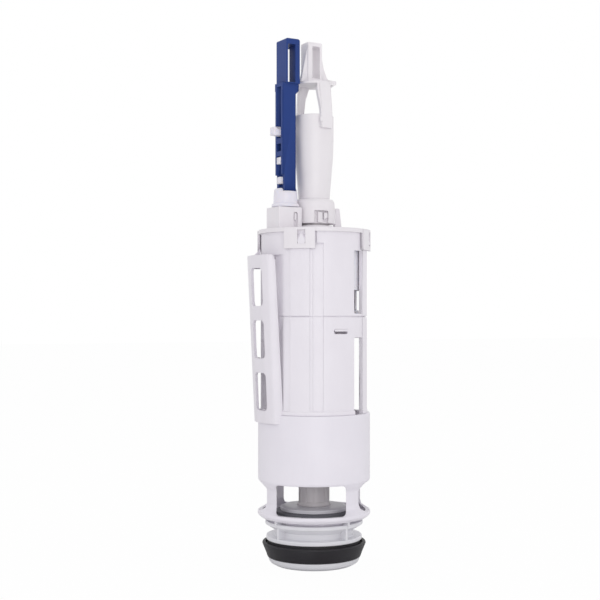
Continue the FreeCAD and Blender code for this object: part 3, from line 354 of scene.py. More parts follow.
# The node tree of a material or of the world
class Paint:
    def __init__(self, owner):
        self.owner = owner
        owner.use_nodes = True
        self.tree = owner.node_tree
        self.tree.nodes.clear()
        self.place = 0

    # One way to add any node: its type, its settings, then its sockets' values or links
    def node(self, kind, settings=None, inputs=None, out=0):
        made = self.tree.nodes.new(kind)
        made.location = (self.place * nodeSpacing, 0)
        self.place += 1
        for key, value in (settings or {}).items():
            setattr(made, key, value)
        for key, value in (inputs or {}).items():
            if isinstance(value, Wire):
                self.tree.links.new(value.socket, made.inputs[key])
            else:
                made.inputs[key].default_value = value
        return Wire(self, made.outputs[out]) if made.outputs else None

    def noise(self, place, scale, detail, twist=0.0):
        return self.node("ShaderNodeTexNoise", {}, {
            "Vector": place, "Scale": scale, "Detail": detail, "Distortion": twist})

    def mixed(self, factor, first, second):
        return self.node("ShaderNodeMix", {"data_type": "RGBA"}, {0: factor, 6: first, 7: second}, out=2)

    def finish(self, shader, end="ShaderNodeOutputMaterial"):
        self.node(end, {}, {"Surface": shader})
        return self.owner


# A colour as it is seen on a screen, 0 to 255, as Blender's linear colour
def shade(*screen):
    parts = [value / 255 for value in screen]
    linear = [part / 12.92 if part <= 0.04045 else ((part + 0.055) / 1.055) ** 2.4 for part in parts]
    return (*linear, 1.0)


raySamples = 6  # of the Bevel and Ambient Occlusion nodes

# Injection moulded plastic: flow marks, fine spark texture, painted shade darkening the nooks, rubbed edges.
# A noise has its scale, detail and twist, and lengths are in metres
moulding = {"cloud": (38.0, 3.0), "flow": (150.0, 4.0, 0.8), "flowStretch": (1.0, 1.0, 0.22),
            "grain": (2600.0, 2.0), "peel": (620.0, 1.0), "cloudShare": 0.55, "flowShare": 0.22,
            "edgeRadius": 0.00035, "edgeSharpness": 5.0, "edgeShare": 0.5, "nookReach": 0.006,
            "nookDepth": 0.5, "paintedShade": 0.8, "grainHeight": 0.25, "peelHeight": 0.5, "flowHeight": 0.6,
            "bump": 0.10, "bumpDistance": 0.0004, "smoothest": 0.08, "cloudGloss": 0.1, "grainGloss": 0.06,
            "edgeGloss": 0.06, "index": 1.49, "throughReach": (0.004, 0.0035, 0.003)}


def mouldedPlastic(name, colour, deep, worn, roughness=0.38, nookShade=0.4, shine=0.5, through=0.0):
    paint = Paint(bpy.data.materials.new(name))
    place = paint.node("ShaderNodeTexCoord", out="Object")
    cloud = paint.noise(place, *moulding["cloud"])
    flowPlace = paint.node("ShaderNodeMapping", {}, {"Vector": place, "Scale": moulding["flowStretch"]})
    flow = paint.noise(flowPlace, *moulding["flow"])
    grain = paint.noise(place, *moulding["grain"])
    peel = paint.noise(place, *moulding["peel"])
    rounded = paint.node("ShaderNodeBevel", {"samples": raySamples}, {"Radius": moulding["edgeRadius"]})
    flat = paint.node("ShaderNodeNewGeometry", out="Normal")
    facing = paint.node("ShaderNodeVectorMath", {"operation": "DOT_PRODUCT"}, {0: rounded, 1: flat},
                        out="Value")
    edge = paint.node("ShaderNodeClamp", {}, {"Value": (1.0 - facing) * moulding["edgeSharpness"]})
    # Painted shade: ambient occlusion darkens the colour in nooks, recesses and gaps between parts, towards
    # a darker copy of the deep tone
    openness = paint.node("ShaderNodeAmbientOcclusion", {"samples": raySamples, "only_local": False},
                          {"Distance": moulding["nookReach"]}, out="AO")
    nook = paint.node("ShaderNodeClamp", {}, {"Value": (1.0 - openness) * moulding["nookDepth"]})
    paintedShade = [part * moulding["paintedShade"] for part in shade(*deep)[:3]] + [1.0]
    toned = paint.mixed(cloud * moulding["cloudShare"], shade(*colour), shade(*deep))
    flowed = paint.mixed(flow * moulding["flowShare"], toned, shade(*deep))
    withNookShade = paint.mixed(nook * nookShade, flowed, paintedShade)
    final = paint.mixed(edge * moulding["edgeShare"], withNookShade, shade(*worn))
    height = grain * moulding["grainHeight"] + peel * moulding["peelHeight"] + flow * moulding["flowHeight"]
    bump = paint.node("ShaderNodeBump", {}, {
        "Strength": moulding["bump"], "Distance": moulding["bumpDistance"], "Height": height,
        "Normal": rounded})
    gloss = (roughness - moulding["smoothest"] + cloud * moulding["cloudGloss"]
             + grain * moulding["grainGloss"] + edge * moulding["edgeGloss"])
    plastic = paint.node("ShaderNodeBsdfPrincipled", {}, {
        "Base Color": final, "Roughness": gloss, "Normal": bump, "IOR": moulding["index"],
        "Specular IOR Level": shine, "Subsurface Weight": through, "Subsurface Scale": 1.0,
        "Subsurface Radius": moulding["throughReach"]})
    return paint.finish(plastic)


# Moulded rubber: matt, with a soft bloom and fine pitting
rubberLook = {"cloud": (60.0, 5.0), "pitScale": 900.0, "grain": (3000.0, 2.0), "edgeRadius": 0.0004,
              "bloomPower": 2.0, "grainHeight": 0.5, "pitHeight": 0.5, "bump": 0.18,
              "bumpDistance": 0.0003, "smoothest": 0.06, "cloudGloss": 0.16, "index": 1.5}


def mouldedRubber(name, colour, bloom, roughness=0.62, shine=0.5):
    paint = Paint(bpy.data.materials.new(name))
    place = paint.node("ShaderNodeTexCoord", out="Object")
    cloud = paint.noise(place, *rubberLook["cloud"])
    pits = paint.node("ShaderNodeTexVoronoi", {"feature": "F1"},
                      {"Vector": place, "Scale": rubberLook["pitScale"]})
    grain = paint.noise(place, *rubberLook["grain"])
    rounded = paint.node("ShaderNodeBevel", {"samples": raySamples}, {"Radius": rubberLook["edgeRadius"]})
    final = paint.mixed(cloud ** rubberLook["bloomPower"], shade(*colour), shade(*bloom))
    height = grain * rubberLook["grainHeight"] + pits * rubberLook["pitHeight"]
    bump = paint.node("ShaderNodeBump", {}, {
        "Strength": rubberLook["bump"], "Distance": rubberLook["bumpDistance"], "Height": height,
        "Normal": rounded})
    gloss = roughness - rubberLook["smoothest"] + cloud * rubberLook["cloudGloss"]
    rubber = paint.node("ShaderNodeBsdfPrincipled", {}, {
        "Base Color": final, "Roughness": gloss, "Normal": bump, "IOR": rubberLook["index"],
        "Specular IOR Level": shine})
    return paint.finish(rubber)


# One row for each finish: its main colour, its deeper tone and its rubbed edges
plastics = {
    "base_white": {"name": "spigotWhite", "colour": (232, 231, 236), "deep": (212, 211, 217),
                   "worn": (243, 242, 245)},
    "cage_white": {"name": "cageWhite", "colour": (241, 237, 245), "deep": (223, 219, 229),
                   "worn": (248, 246, 250)},
    "barrel_white": {"name": "barrelWhite", "colour": (241, 237, 244), "deep": (224, 219, 228),
                     "worn": (248, 246, 250)},
    "guard_white": {"name": "guardWhite", "colour": (240, 236, 243), "deep": (222, 217, 226),
                    "worn": (247, 245, 249)},
    "cap_white": {"name": "capWhite", "colour": (240, 236, 241), "deep": (223, 218, 224),
                  "worn": (247, 245, 248)},
    "funnel_white": {"name": "funnelWhite", "colour": (241, 237, 241), "deep": (225, 220, 225),
                     "worn": (248, 246, 248)},
    "head_white": {"name": "headWhite", "colour": (243, 239, 243), "deep": (227, 222, 227),
                   "worn": (249, 247, 249)},
    # Painted light: the inner white is a little lighter than the shells and gets little painted nook shade,
    # so the half float shows bright inside the barrel's windows
    "inner_white": {"name": "innerWhite", "colour": (246, 243, 249), "deep": (232, 228, 237),
                    "worn": (250, 248, 251), "nookShade": 0.1, "through": 0.4},
    "bar_blue": {"name": "barBlue", "colour": (46, 71, 139), "deep": (33, 54, 114),
                 "worn": (64, 88, 152), "roughness": 0.4, "shine": 0.16},
    "natural_plastic": {"name": "milkyPlastic", "colour": (238, 235, 245), "deep": (216, 212, 224),
                        "worn": (246, 244, 250), "roughness": 0.3, "through": 0.35},
    # Painted light: the tube and the clamp disc are lighter than their own grey, standing in for light that
    # does not reach them inside the cage
    "tube_grey": {"name": "tubeGrey", "colour": (212, 207, 210), "deep": (190, 184, 188),
                  "worn": (224, 220, 222)},
    "clamp_grey": {"name": "clampGrey", "colour": (218, 216, 222), "deep": (196, 194, 201),
                   "worn": (228, 226, 232)},
    "pin_white": {"name": "pinWhite", "colour": (225, 223, 226), "deep": (200, 198, 202),
                  "worn": (240, 239, 241)},
}
rubbers = {
    "seal_grey": {"name": "sealGrey", "colour": (98, 98, 105), "bloom": (118, 118, 125)},
    "lip_black": {"name": "lipBlack", "colour": (26, 22, 28), "bloom": (44, 44, 48),
                  "roughness": 0.5, "shine": 0.35},
}
finishes = {slot: mouldedPlastic(**look) for slot, look in plastics.items()}
finishes.update({slot: mouldedRubber(**look) for slot, look in rubbers.items()})
print("stage: finishes made")


# Each node's material slot and body. The CAD nodes get the finishes too
slotOf = {part["node"]: part["material_slot"] for part in frame["record"]["subparts"]}
bodyOf = {name: body for body, names in frame["record"]["behaviour"]["bodies"].items() for name in names}
for name, node in frame["nodes"].items():
    node.data.materials.clear()
    node.data.materials.append(finishes[slotOf[name]])


def readVectors(items, key):
    values = np.empty(len(items) * 3, np.float32)
    items.foreach_get(key, values)
    return values.reshape(-1, 3).astype(float)


# A face lies on a cylinder or cone about the axis if its corners are as far out as each
# other, or if it faces straight away from the axis. Facings are cosines
roundness = {"sharpest": 32, "sameR": 0.02, "leastR": 2.0, "upright": 0.98, "uprightFacing": 0.94,
             "leaning": 0.05, "leaningFacing": 0.99}
tiny = 1e-6
farAxis = 500.0  # so far to the side that a piece's flat walls count as round and stay flat


# Smooth shading. Faces on a round wall about an upright axis take that wall's own normals,
# so that long facets don't show as streaks
def shadeSmooth(piece, axisX):
    mesh = piece.data
    mesh.shade_smooth()
    mesh.set_sharp_from_angle(angle=math.radians(roundness["sharpest"]))
    normals = readVectors(mesh.corner_normals, "vector")
    cornerVerts = np.empty(len(mesh.loops), np.int32)
    mesh.loops.foreach_get("vertex_index", cornerVerts)
    places = readVectors(mesh.vertices, "co")[cornerVerts] / mm
    places[:, 0] -= axisX
    radius = np.hypot(places[:, 0], places[:, 1])
    outward = places[:, :2] / np.maximum(radius, tiny)[:, None]
    faceCorners = np.empty(len(mesh.polygons), np.int32)
    mesh.polygons.foreach_get("loop_total", faceCorners)
    firstCorner = np.cumsum(faceCorners) - faceCorners
    faceOf = np.repeat(np.arange(len(faceCorners)), faceCorners)
    faceNormals = readVectors(mesh.polygons, "normal")
    level = np.hypot(faceNormals[:, 0], faceNormals[:, 1])
    widest = np.maximum.reduceat(radius, firstCorner)
    narrowest = np.minimum.reduceat(radius, firstCorner)
    middle = np.add.reduceat(places[:, :2], firstCorner) / faceCorners[:, None]
    reach = np.maximum(np.hypot(middle[:, 0], middle[:, 1]), tiny)
    along = (middle * faceNormals[:, :2]).sum(1) / reach / np.maximum(level, tiny)
    upright = ((widest - narrowest < roundness["sameR"]) & (level > roundness["upright"])
               & (np.abs(along) > roundness["uprightFacing"]))
    leaning = (level > roundness["leaning"]) & (np.abs(along) > roundness["leaningFacing"]) & ~upright
    chosen = ((upright | leaning) & (narrowest > roundness["leastR"]))[faceOf]
    steep = np.where(upright[faceOf], 0.0, normals[:, 2])
    flatPart = np.sqrt(np.maximum(1 - steep * steep, 0)) * np.sign(along)[faceOf]
    normals[chosen, 0] = (outward[:, 0] * flatPart)[chosen]
    normals[chosen, 1] = (outward[:, 1] * flatPart)[chosen]
    normals[chosen, 2] = steep[chosen]
    mesh.normals_split_custom_set([tuple(normal) for normal in normals])


# A merged copy of a CAD node, to be dressed in its place
def mergedCopy(name):
    bm = bmesh.new()
    bm.from_mesh(frame["nodes"][name].data)
    bmesh.ops.remove_doubles(bm, verts=bm.verts, dist=sameCorner)
    mesh = bpy.data.meshes.new(name + "Shape")
    bm.to_mesh(mesh)
    bm.free()
    made = bpy.data.objects.new(name + "Shape", mesh)
    scene.collection.objects.link(made)
    return made


# Gives a piece its finish, shading, body and slot. axisX is where its round walls have
# their axis, or farAxis where it has none
def dress(piece, node, axisX=0.0):
    piece.data.materials.clear()
    piece.data.materials.append(finishes[slotOf[node]])
    shadeSmooth(piece, axisX)
    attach(piece, bodyOf[node])
    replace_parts(piece, node)


# Spigot that plugs into the cistern's outlet, with its plate, neck, collar and ribs
spigot = {"boreR": 22.4, "noseLowR": 25.2, "noseShoulderR": 28.7, "noseShoulder": 1.9, "noseRound": 2.6,
          "noseR": 30.0, "edge": 0.35, "grooveR": 27.5, "grooveLow": 5.2, "plateLow": 16.4,
          "plateTop": 19.1, "plateR": 31.0, "neckR": 25.5, "neckTop": 22.8, "collarLow": 26.5,
          "collarTop": 28.7, "collarR": 31.6, "seatTop": 32.3, "waterR": 23.1, "wall": 2.2, "lip": 2.2,
          "ribs": 4, "firstRib": 12.0, "ribHalf": 0.8, "ribR": 31.0, "ribRootR": 24.9, "upperRibR": 33.0,
          "upperRibRootR": 27.7, "upperRibTop": 31.0}
size = spigot
innerR = size["grooveR"] - size["wall"]
spigotShell = turned("spigot", [
    (size["boreR"], 0, softRound), (size["noseLowR"], 0, size["noseRound"]),
    (size["noseShoulderR"], size["noseShoulder"], size["noseRound"]),
    (size["noseR"], size["grooveLow"], size["edge"]), (size["grooveR"], size["grooveLow"], size["edge"]),
    (size["grooveR"], size["plateLow"], size["edge"]), (size["plateR"], size["plateLow"], lipRound),
    (size["plateR"], size["plateTop"], lipRound), (size["neckR"], size["plateTop"], edgeRound),
    (size["neckR"], size["neckTop"], softRound), (size["collarR"], size["collarLow"], edgeRound),
    (size["collarR"], size["collarTop"], rimRound), (size["neckR"], size["collarTop"], fineRound),
    (size["neckR"], size["seatTop"], fullRound), (size["waterR"], size["seatTop"], fullRound),
    (size["waterR"], size["neckTop"], broadRound), (innerR, size["plateLow"], broadRound),
    (innerR, size["lip"], rimRound), (size["boreR"], size["lip"], rimRound)])
half = size["ribHalf"]
ribFoot = rectangle(-half, half, -size["ribR"], -size["ribRootR"], fineRound, 0)
rib = prism("spigotRib", ribFoot, "Z", size["plateTop"] - sink, size["collarLow"] + sink)
upperRibFoot = rectangle(-half, half, -size["upperRibR"], -size["upperRibRootR"], fineRound, 0)
upperRib = prism("spigotRibTop", upperRibFoot, "Z", size["collarTop"] - sink, size["upperRibTop"])
ribs = repeated(joined(rib, upperRib), size["ribs"], size["firstRib"], finishes[slotOf["outlet_base"]])
dress(joined(spigotShell, ribs), "outlet_base")

# Lip seal: a soft wedge that flares to a thin lip
lipSeal = {"innerR": 27.6, "low": 5.3, "top": 16.3, "lowR": 30.2, "bulgeR": 31.2, "bulgeTop": 8.2,
           "bulgeRound": 3.0, "lipR": 33.6, "lipLow": 14.0, "lipTopR": 33.2, "lipTop": 14.9,
           "lipInnerR": 31.2, "rootR": 30.15, "root": 8.4, "bodyR": 29.9}
size = lipSeal
lipShape = turned("lipSeal", [
    (size["innerR"], size["low"], fineRound), (size["lowR"], size["low"], lipRound),
    (size["bulgeR"], size["bulgeTop"], size["bulgeRound"]), (size["lipR"], size["lipLow"], softRound),
    (size["lipTopR"], size["lipTop"], thinRound), (size["lipInnerR"], size["lipTop"], rimRound),
    (size["rootR"], size["root"], edgeRound), (size["bodyR"], size["top"], thinRound),
    (size["innerR"], size["top"], fineRound)])
dress(lipShape, "outlet_seal")
print("stage: spigot and lip seal made")

# Cage and cup: one moulding of dish, four posts and cup, with the spider that guides the tube
cage = {"collarInR": 25.6, "collarR": 27.6, "collarLow": 28.7, "dishLow": 30.8, "dishFootR": 34.0,
        "dishR": 36.5, "dishRound": 1.4, "rimLow": 32.9, "rimTop": 34.8, "shoulderR": 32.2,
        "shoulder": 37.6, "shoulderRound": 1.6, "postR": 31.4, "postLow": 40.6, "postHigh": 49.6,
        "postRound": 3.0, "cupR": 36.3, "cupShoulder": 55.2, "cupShoulderRound": 2.4, "cupTop": 98.2,
        "cupInnerR": 34.1, "cupFloor": 57.3, "floorRound": 1.2, "innerR": 29.0, "innerTop": 51.6,
        "innerLow": 39.6, "innerRound": 2.0, "dishInnerR": 34.4, "dishInner": 34.0, "floor": 32.0}
size = cage
cageShell = turned("cage", [
    (size["collarInR"], size["collarLow"], fineRound), (size["collarR"], size["collarLow"], fineRound),
    (size["collarR"], size["dishLow"], fineRound), (size["dishFootR"], size["dishLow"], size["dishRound"]),
    (size["dishR"], size["rimLow"], size["dishRound"]), (size["dishR"], size["rimTop"], edgeRound),
    (size["shoulderR"], size["shoulder"], size["shoulderRound"]),
    (size["postR"], size["postLow"], size["postRound"]),
    (size["postR"], size["postHigh"], size["postRound"]),
    (size["cupR"], size["cupShoulder"], size["cupShoulderRound"]), (size["cupR"], size["cupTop"], lipRound),
    (size["cupInnerR"], size["cupTop"], thinRound),
    (size["cupInnerR"], size["cupFloor"], size["floorRound"]),
    (size["innerR"], size["innerTop"], size["innerRound"]),
    (size["innerR"], size["innerLow"], size["innerRound"]),
    (size["dishInnerR"], size["dishInner"], rimRound),
    (size["dishInnerR"], size["floor"], size["floorRound"]), (size["collarInR"], size["floor"], thinRound)])

# Its windows: two broad ones and two narrow ones, between posts that stand in pairs
windows = {"count": 4, "first": -34.5, "halfTurn": (44.0, 20.0), "spare": 0.2, "low": (34.9, 35.2),
           "high": 54.3, "corner": 2.2, "y": (-44.0, -14.0)}
for index in range(windows["count"]):
    half = math.sin(math.radians(windows["halfTurn"][index % 2])) * size["postR"] + windows["spare"]
    face = rectangle(-half, half, windows["low"][index % 2], windows["high"], windows["corner"])
    window = prism("cageWindow", face, "Y", *windows["y"])
    cut(cageShell, swung(window, windows["first"] + index * 360 / windows["count"]))

# The spider stands in the cup: a hub round the tube on four spokes
spider = {"low": 57.0, "top": 61.0, "hubTop": 62.5, "guideR": 10.35, "hubR": 12.75, "spokes": 4,
          "firstSpoke": 10.5, "spokeHalf": 1.1, "spokeR": 34.7, "spokeRootR": 11.35}
size = spider
hub = turned("spiderHub", [
    (size["guideR"], size["low"], thinRound), (size["hubR"], size["low"], edgeRound),
    (size["hubR"], size["hubTop"], edgeRound), (size["guideR"], size["hubTop"], thinRound)], smallTurn)
spokeFoot = rectangle(-size["spokeHalf"], size["spokeHalf"], -size["spokeR"], -size["spokeRootR"])
spoke = prism("spoke", spokeFoot, "Z", size["low"], size["top"])
spokes = repeated(spoke, size["spokes"], size["firstSpoke"], finishes[slotOf["cage_cup"]])
dress(joined(cageShell, hub, spokes), "cage_cup")
print("stage: cage made")

# Barrels: the narrow windows beside the right hand struts open a little further forward,
# and the seam line is deeper. The seam's left and right are radii
barrels = {"wallR": 34.3, "outerR": 36.5, "windowInR": 28.5, "middle": 25.3, "width": 15.4, "corner": 0.9,
           "window": {"lower_barrel": (97.4, 146.9), "upper_barrel": (162.0, 201.9)},
           "seam": {"left": 33.4, "right": 36.5, "low": 159.75, "high": 160.35}, "pocketR": 33.1}
# Shallow pockets in the wall, each with its middle, width, low, high and corner: the catch,
# and the two steps at the top of the front groove
pockets = {"lower_barrel": [(-1.4, 14.4, 150.2, 151.6, 0.2)],
           "upper_barrel": [(-24.2, 8.6, 205.1, 206.0, 0.1), (-28.3, 2.0, 205.4, 214.0, 0.1)]}
# The wedge that the cap's front clip snaps over
clipLug = {"turn": -42.5, "y": (-36.5, -33.5),
           "outline": [(-2.35, 205.3), (2.35, 205.3), (2.0, 207.4), (0.8, 211.6), (-0.8, 211.6),
                       (-2.0, 207.4)]}
size = barrels
for node, (low, top) in size["window"].items():
    barrel = mergedCopy(node)
    for middle in (size["middle"], 180 - size["middle"]):
        cut(barrel, windowCutter(middle, size["width"], low, top, size["corner"], size["windowInR"],
                                 size["outerR"], size["wallR"]))
    cut(barrel, turned("seamLine", rectangle(**size["seam"])))
    for pocket in pockets[node]:
        cut(barrel, windowCutter(*pocket, size["pocketR"], size["outerR"], size["wallR"]))
    if node == "upper_barrel":
        fuse(barrel, swung(prism("clipLug", clipLug["outline"], "Y", *clipLug["y"]), clipLug["turn"]))
    dress(barrel, node)
print("stage: barrels made")


# Turret that guides the half flush rod: a hollow block with a round room for the sleeve and a
# tall slot in front, which holds a latch over a deeper foot
turret = {
    "shell": {"left": -30.4, "right": -13.7, "front": -8.5, "back": 8.5, "low": 216.0, "high": 229.8,
              "corner": 0.5},
    "bevel": 0.3, "bevelSteps": 3, "wall": 1.8, "insideCorner": 1.0, "scoopInR": 13.7, "scoopOutR": 16.0,
    "sleeveR": 14.2,
    "stemHole": {"left": -24.6, "right": -17.5, "front": -2.95, "back": 2.95, "low": 216.0, "high": 230.8,
                 "corner": 0.3},
    "slot": {"left": -19.75, "right": -16.85, "low": 217.2, "high": 226.6, "corner": 0.2, "topCorner": 1.3},
    "foot": {"left": -19.45, "right": -17.15, "low": 217.5, "high": 221.3},
    "latch": {"left": -19.05, "right": -17.55, "low": 221.6, "high": 226.1, "corner": 0.2, "topCorner": 0.7},
    "slotBack": -7.2, "footBack": -6.85, "latchFront": -8.15, "latchBack": -6.8}
size = turret
shell = size["shell"]
turretShell = block("turret", **shell)
softEdges(turretShell, size["bevel"], size["bevelSteps"])
cut(turretShell, block("turretInside", shell["left"] + size["wall"], shell["right"] - size["wall"],
                       shell["front"] + size["wall"], shell["back"] - size["wall"],
                       shell["low"] - overrun, shell["high"] - size["wall"], size["insideCorner"]))
scoopWall = rectangle(size["scoopInR"], size["scoopOutR"], shell["low"], shell["high"])
fuse(turretShell, common(block("scoop", **shell), turned("scoopWall", scoopWall, smallTurn)))
sleeveRoom = rectangle(0, size["sleeveR"], shell["low"] - overrun, shell["high"] + overrun)
before = shell["front"] - overrun
cut(turretShell, block("stemHole", **size["stemHole"]), turned("sleeveRoom", sleeveRoom, smallTurn),
    prism("turretSlot", rectangle(**size["slot"]), "Y", before, size["slotBack"]),
    prism("slotFoot", rectangle(**size["foot"]), "Y", before, size["footBack"]))
latch = prism("turretLatch", rectangle(**size["latch"]), "Y", size["latchFront"], size["latchBack"])
fuse(turretShell, latch)
dress(turretShell, "half_flush_guide", axisX=farAxis)

# Sleeve that locks the funnel, with an open window that shows its rib and the funnel's catch
sleeve = {
    "innerR": 9.75, "low": 220.0, "lowR": 13.8, "straight": 224.0, "straightRound": 2.0, "topR": 13.3,
    "shoulder": 234.0, "top": 235.6, "lipR": 12.2, "socketR": 10.35, "socketLow": 229.0, "turn": -8.6,
    "window": {"left": -4.8, "right": 4.8, "low": 219.0, "high": 228.0, "topCorner": 0.8},
    "windowY": (-16.0, -10.7),
    "rib": [(-2.2, 220.4, 0.3), (0.8, 220.4, 0.3), (0.8, 226.8, 0.3), (-2.2, 227.2, 0.3)],
    "ribY": (-12.8, -10.1),
    "catch": [(1.8, 222.4, 0.3), (4.3, 223.4, 0.6), (4.3, 226.6, 0.5), (1.8, 226.6, 0.5)],
    "catchY": (-12.9, -10.1)}
size = sleeve
sleeveShell = turned("sleeve", [
    (size["innerR"], size["low"], hairRound), (size["lowR"], size["low"], fineRound),
    (size["lowR"], size["straight"], size["straightRound"]), (size["topR"], size["shoulder"], broadRound),
    (size["lipR"], size["top"], thinRound), (size["socketR"], size["top"], hairRound),
    (size["socketR"], size["socketLow"]), (size["innerR"], size["socketLow"])])
window = prism("sleeveWindow", rectangle(**size["window"]), "Y", *size["windowY"])
cut(sleeveShell, swung(window, size["turn"]))
fuse(sleeveShell, swung(prism("sleeveRib", size["rib"], "Y", *size["ribY"]), size["turn"]),
     swung(prism("sleeveCatch", size["catch"], "Y", *size["catchY"]), size["turn"]))
dress(sleeveShell, "funnel_lock_sleeve")

# Cap: its fin stands a little higher
fin = {"outline": [(15.2, 215.6), (20.6, 215.6), (18.6, 231.0, 0.9), (15.4, 231.0, 0.5)], "y": (-1.2, 1.2)}
cap = mergedCopy("top_cap")
fuse(cap, prism("capFin", fin["outline"], "Y", *fin["y"]))
dress(cap, "top_cap")
print("stage: turret, sleeve and cap made")

# Half flush rod: its collar is open at the front, where the bar's foot stands
rod = {"stemX": -21.05,
       "footRoom": {"left": -25.9, "right": -15.95, "front": -9.0, "back": -4.9, "low": 240.1, "high": 244.0,
                    "corner": 0.4}}
rodShape = mergedCopy("half_flush_rod")
cut(rodShape, block("footRoom", **rod["footRoom"]))
dress(rodShape, "half_flush_rod", axisX=rod["stemX"])

# Blue bar: its slotted head is open behind on the right, the right cheek is thick, the left
# one thin, and the top corners are round
blueBar = {
    "openBack": {"left": -15.8, "right": -13.2, "front": 1.8, "back": 7.7, "low": 309.8, "high": 333.3},
    "thinCheek": [(-22.9, 309.5, 0.1), (-22.6, 309.5), (-22.6, 333.6), (-22.9, 333.6, 0.1)],
    "thinCheekY": (-7.6, 7.7),
    "thickCheek": {"left": -17.4, "right": -15.4, "front": -6.55, "back": 1.8, "low": 309.2, "high": 333.9,
                   "corner": 0.3},
    "outline": [(-30.0, 230.0), (-14.2, 230.0), (-14.2, 337.3, 1.5), (-24.1, 337.3, 1.1), (-24.1, 311.0),
                (-30.0, 311.0)],
    "outlineY": (-9.0, 9.0)}
size = blueBar
barShape = mergedCopy("half_flush_pull_bar")
cut(barShape, block("openBack", **size["openBack"]),
    prism("thinCheek", size["thinCheek"], "Y", *size["thinCheekY"]))
fuse(barShape, block("thickCheek", **size["thickCheek"]))
common(barShape, prism("barOutline", size["outline"], "Y", *size["outlineY"]))
dress(barShape, "half_flush_pull_bar", axisX=farAxis)
print("stage: rod and blue bar made")


# White head: it keeps the yoke's ring and legs, and gets a thin plate, a post with a deep
# slot, a flared gusset, a lug, a hook tab, stiffened legs and a rear leg with a narrow top.
# The left and right of plateRoom and sideRoom are radii
whiteHead = {
    "oldPost": {"left": -14.0, "right": 14.0, "front": -8.0, "back": 8.0, "low": 311.45, "high": 340.0},
    "oldEar": {"left": 12.2, "right": 17.0, "front": -4.0, "back": 4.0, "low": 307.0, "high": 312.4},
    "plateRoom": {"left": 0.01, "right": 10.4, "low": 307.0, "high": 309.75},
    "sideRoom": {"left": 0.5, "right": 16.0, "low": 307.0, "high": 309.75}, "sideWidth": 128.0,
    "post": {"left": -6.9, "right": 3.9, "front": -4.2, "back": 5.5, "low": 311.0, "high": 337.3,
             "corner": 0.9},
    "bevel": 0.8, "bevelSteps": 4,
    "slot": {"left": -3.6, "right": 2.0, "low": 314.0, "high": 334.6, "corner": 0.6},
    "gusset": [(-11.6, 311.0, 0.3), (9.6, 311.0), (9.2, 313.4, 0.5), (7.6, 315.2, 3.0), (5.4, 320.5, 9.0),
               (3.7, 328.0), (-6.7, 334.2, 0.3), (-9.4, 322.0, 20.0)],
    "gussetY": (-3.4, -1.2),
    "lug": [(9.0, 310.0), (12.8, 310.5, 0.8), (15.1, 311.6, 0.8), (15.1, 313.9, 0.8), (9.0, 314.1)],
    "lugY": (-3.0, 3.0),
    "tab": {"left": -3.7, "right": -2.0, "front": -14.7, "back": -13.0, "low": 285.0, "high": 287.8,
            "corner": 0.2},
    "legTurn": 6.0, "web": [(-14.0, 293.5), (-12.9, 291.5), (-9.2, 310.0), (-11.8, 310.0)],
    "webY": (-4.0, 4.0),
    "rearCut": [(-0.6, 270.0), (8.0, 270.0), (8.0, 309.75), (1.8, 309.75, 0.4), (-0.2, 302.0, 8.0)],
    "rearY": (6.0, 17.0)}
size = whiteHead
headShape = mergedCopy("full_flush_pull_head")
cut(headShape, block("oldPost", **size["oldPost"]), block("oldEar", **size["oldEar"]),
    turned("plateRoom", rectangle(**size["plateRoom"])))
for side in (90, -90):
    cut(headShape, turned("sideRoom", rectangle(**size["sideRoom"]), middle=size["legTurn"] + side,
                          width=size["sideWidth"]))
post = softEdges(block("post", **size["post"]), size["bevel"], size["bevelSteps"])
fuse(headShape, post, prism("gusset", size["gusset"], "Y", *size["gussetY"]),
     prism("lug", size["lug"], "Y", *size["lugY"]), block("hookTab", **size["tab"]))
for side in (90, 270):
    fuse(headShape, swung(prism("legWeb", size["web"], "Y", *size["webY"]), size["legTurn"] + side))
cut(headShape,
    prism("headSlot", rectangle(**size["slot"]), "Y", size["post"]["front"] - overrun,
          size["post"]["back"] + overrun),
    prism("rearCut", size["rearCut"], "Y", *size["rearY"]))
dress(headShape, "full_flush_pull_head", axisX=farAxis)
print("stage: white head made")

# Side guard: its front strip is folded towards the barrel, and its foot is cut short
guard = {"foldStart": -11.4, "foldEnd": -14.6, "squeeze": 0.24, "cuts": 5,
         "foot": {"left": -50.0, "right": -25.0, "front": -30.0, "back": 30.0, "low": 80.0, "high": 92.7}}
size = guard
guardShape = mergedCopy("side_guard")
cut(guardShape, block("guardFoot", **size["foot"]))
bm = bmesh.new()
bm.from_mesh(guardShape.data)
span = size["foldEnd"] - size["foldStart"]
for step in range(size["cuts"] + 1):
    everything = bm.verts[:] + bm.edges[:] + bm.faces[:]
    place = (0, (size["foldStart"] + span * step / size["cuts"]) * mm, 0)
    bmesh.ops.bisect_plane(bm, geom=everything, dist=onPlane, plane_co=place, plane_no=(0, 1, 0))
for vert in bm.verts:
    along = vert.co.y / mm - size["foldStart"]
    if along < 0:
        # The strip turns evenly through the fold, and past it runs on at the squeezed width
        bent = max(along, span)
        turn = (1 - size["squeeze"]) * bent * bent / (2 * span)
        vert.co.y = mm * (size["foldStart"] + bent - turn + size["squeeze"] * (along - bent))
bm.to_mesh(guardShape.data)
bm.free()
dress(guardShape, "side_guard", axisX=farAxis)
print("stage: side guard made")

# The remaining nodes keep their shape, merged and shaded from their true surfaces
dressed = {name for piece in scene.objects for name in piece.get("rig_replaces", [])}
for name in frame["nodes"]:
    if name not in dressed:
        dress(mergedCopy(name), name)
print("stage: remaining nodes dressed")


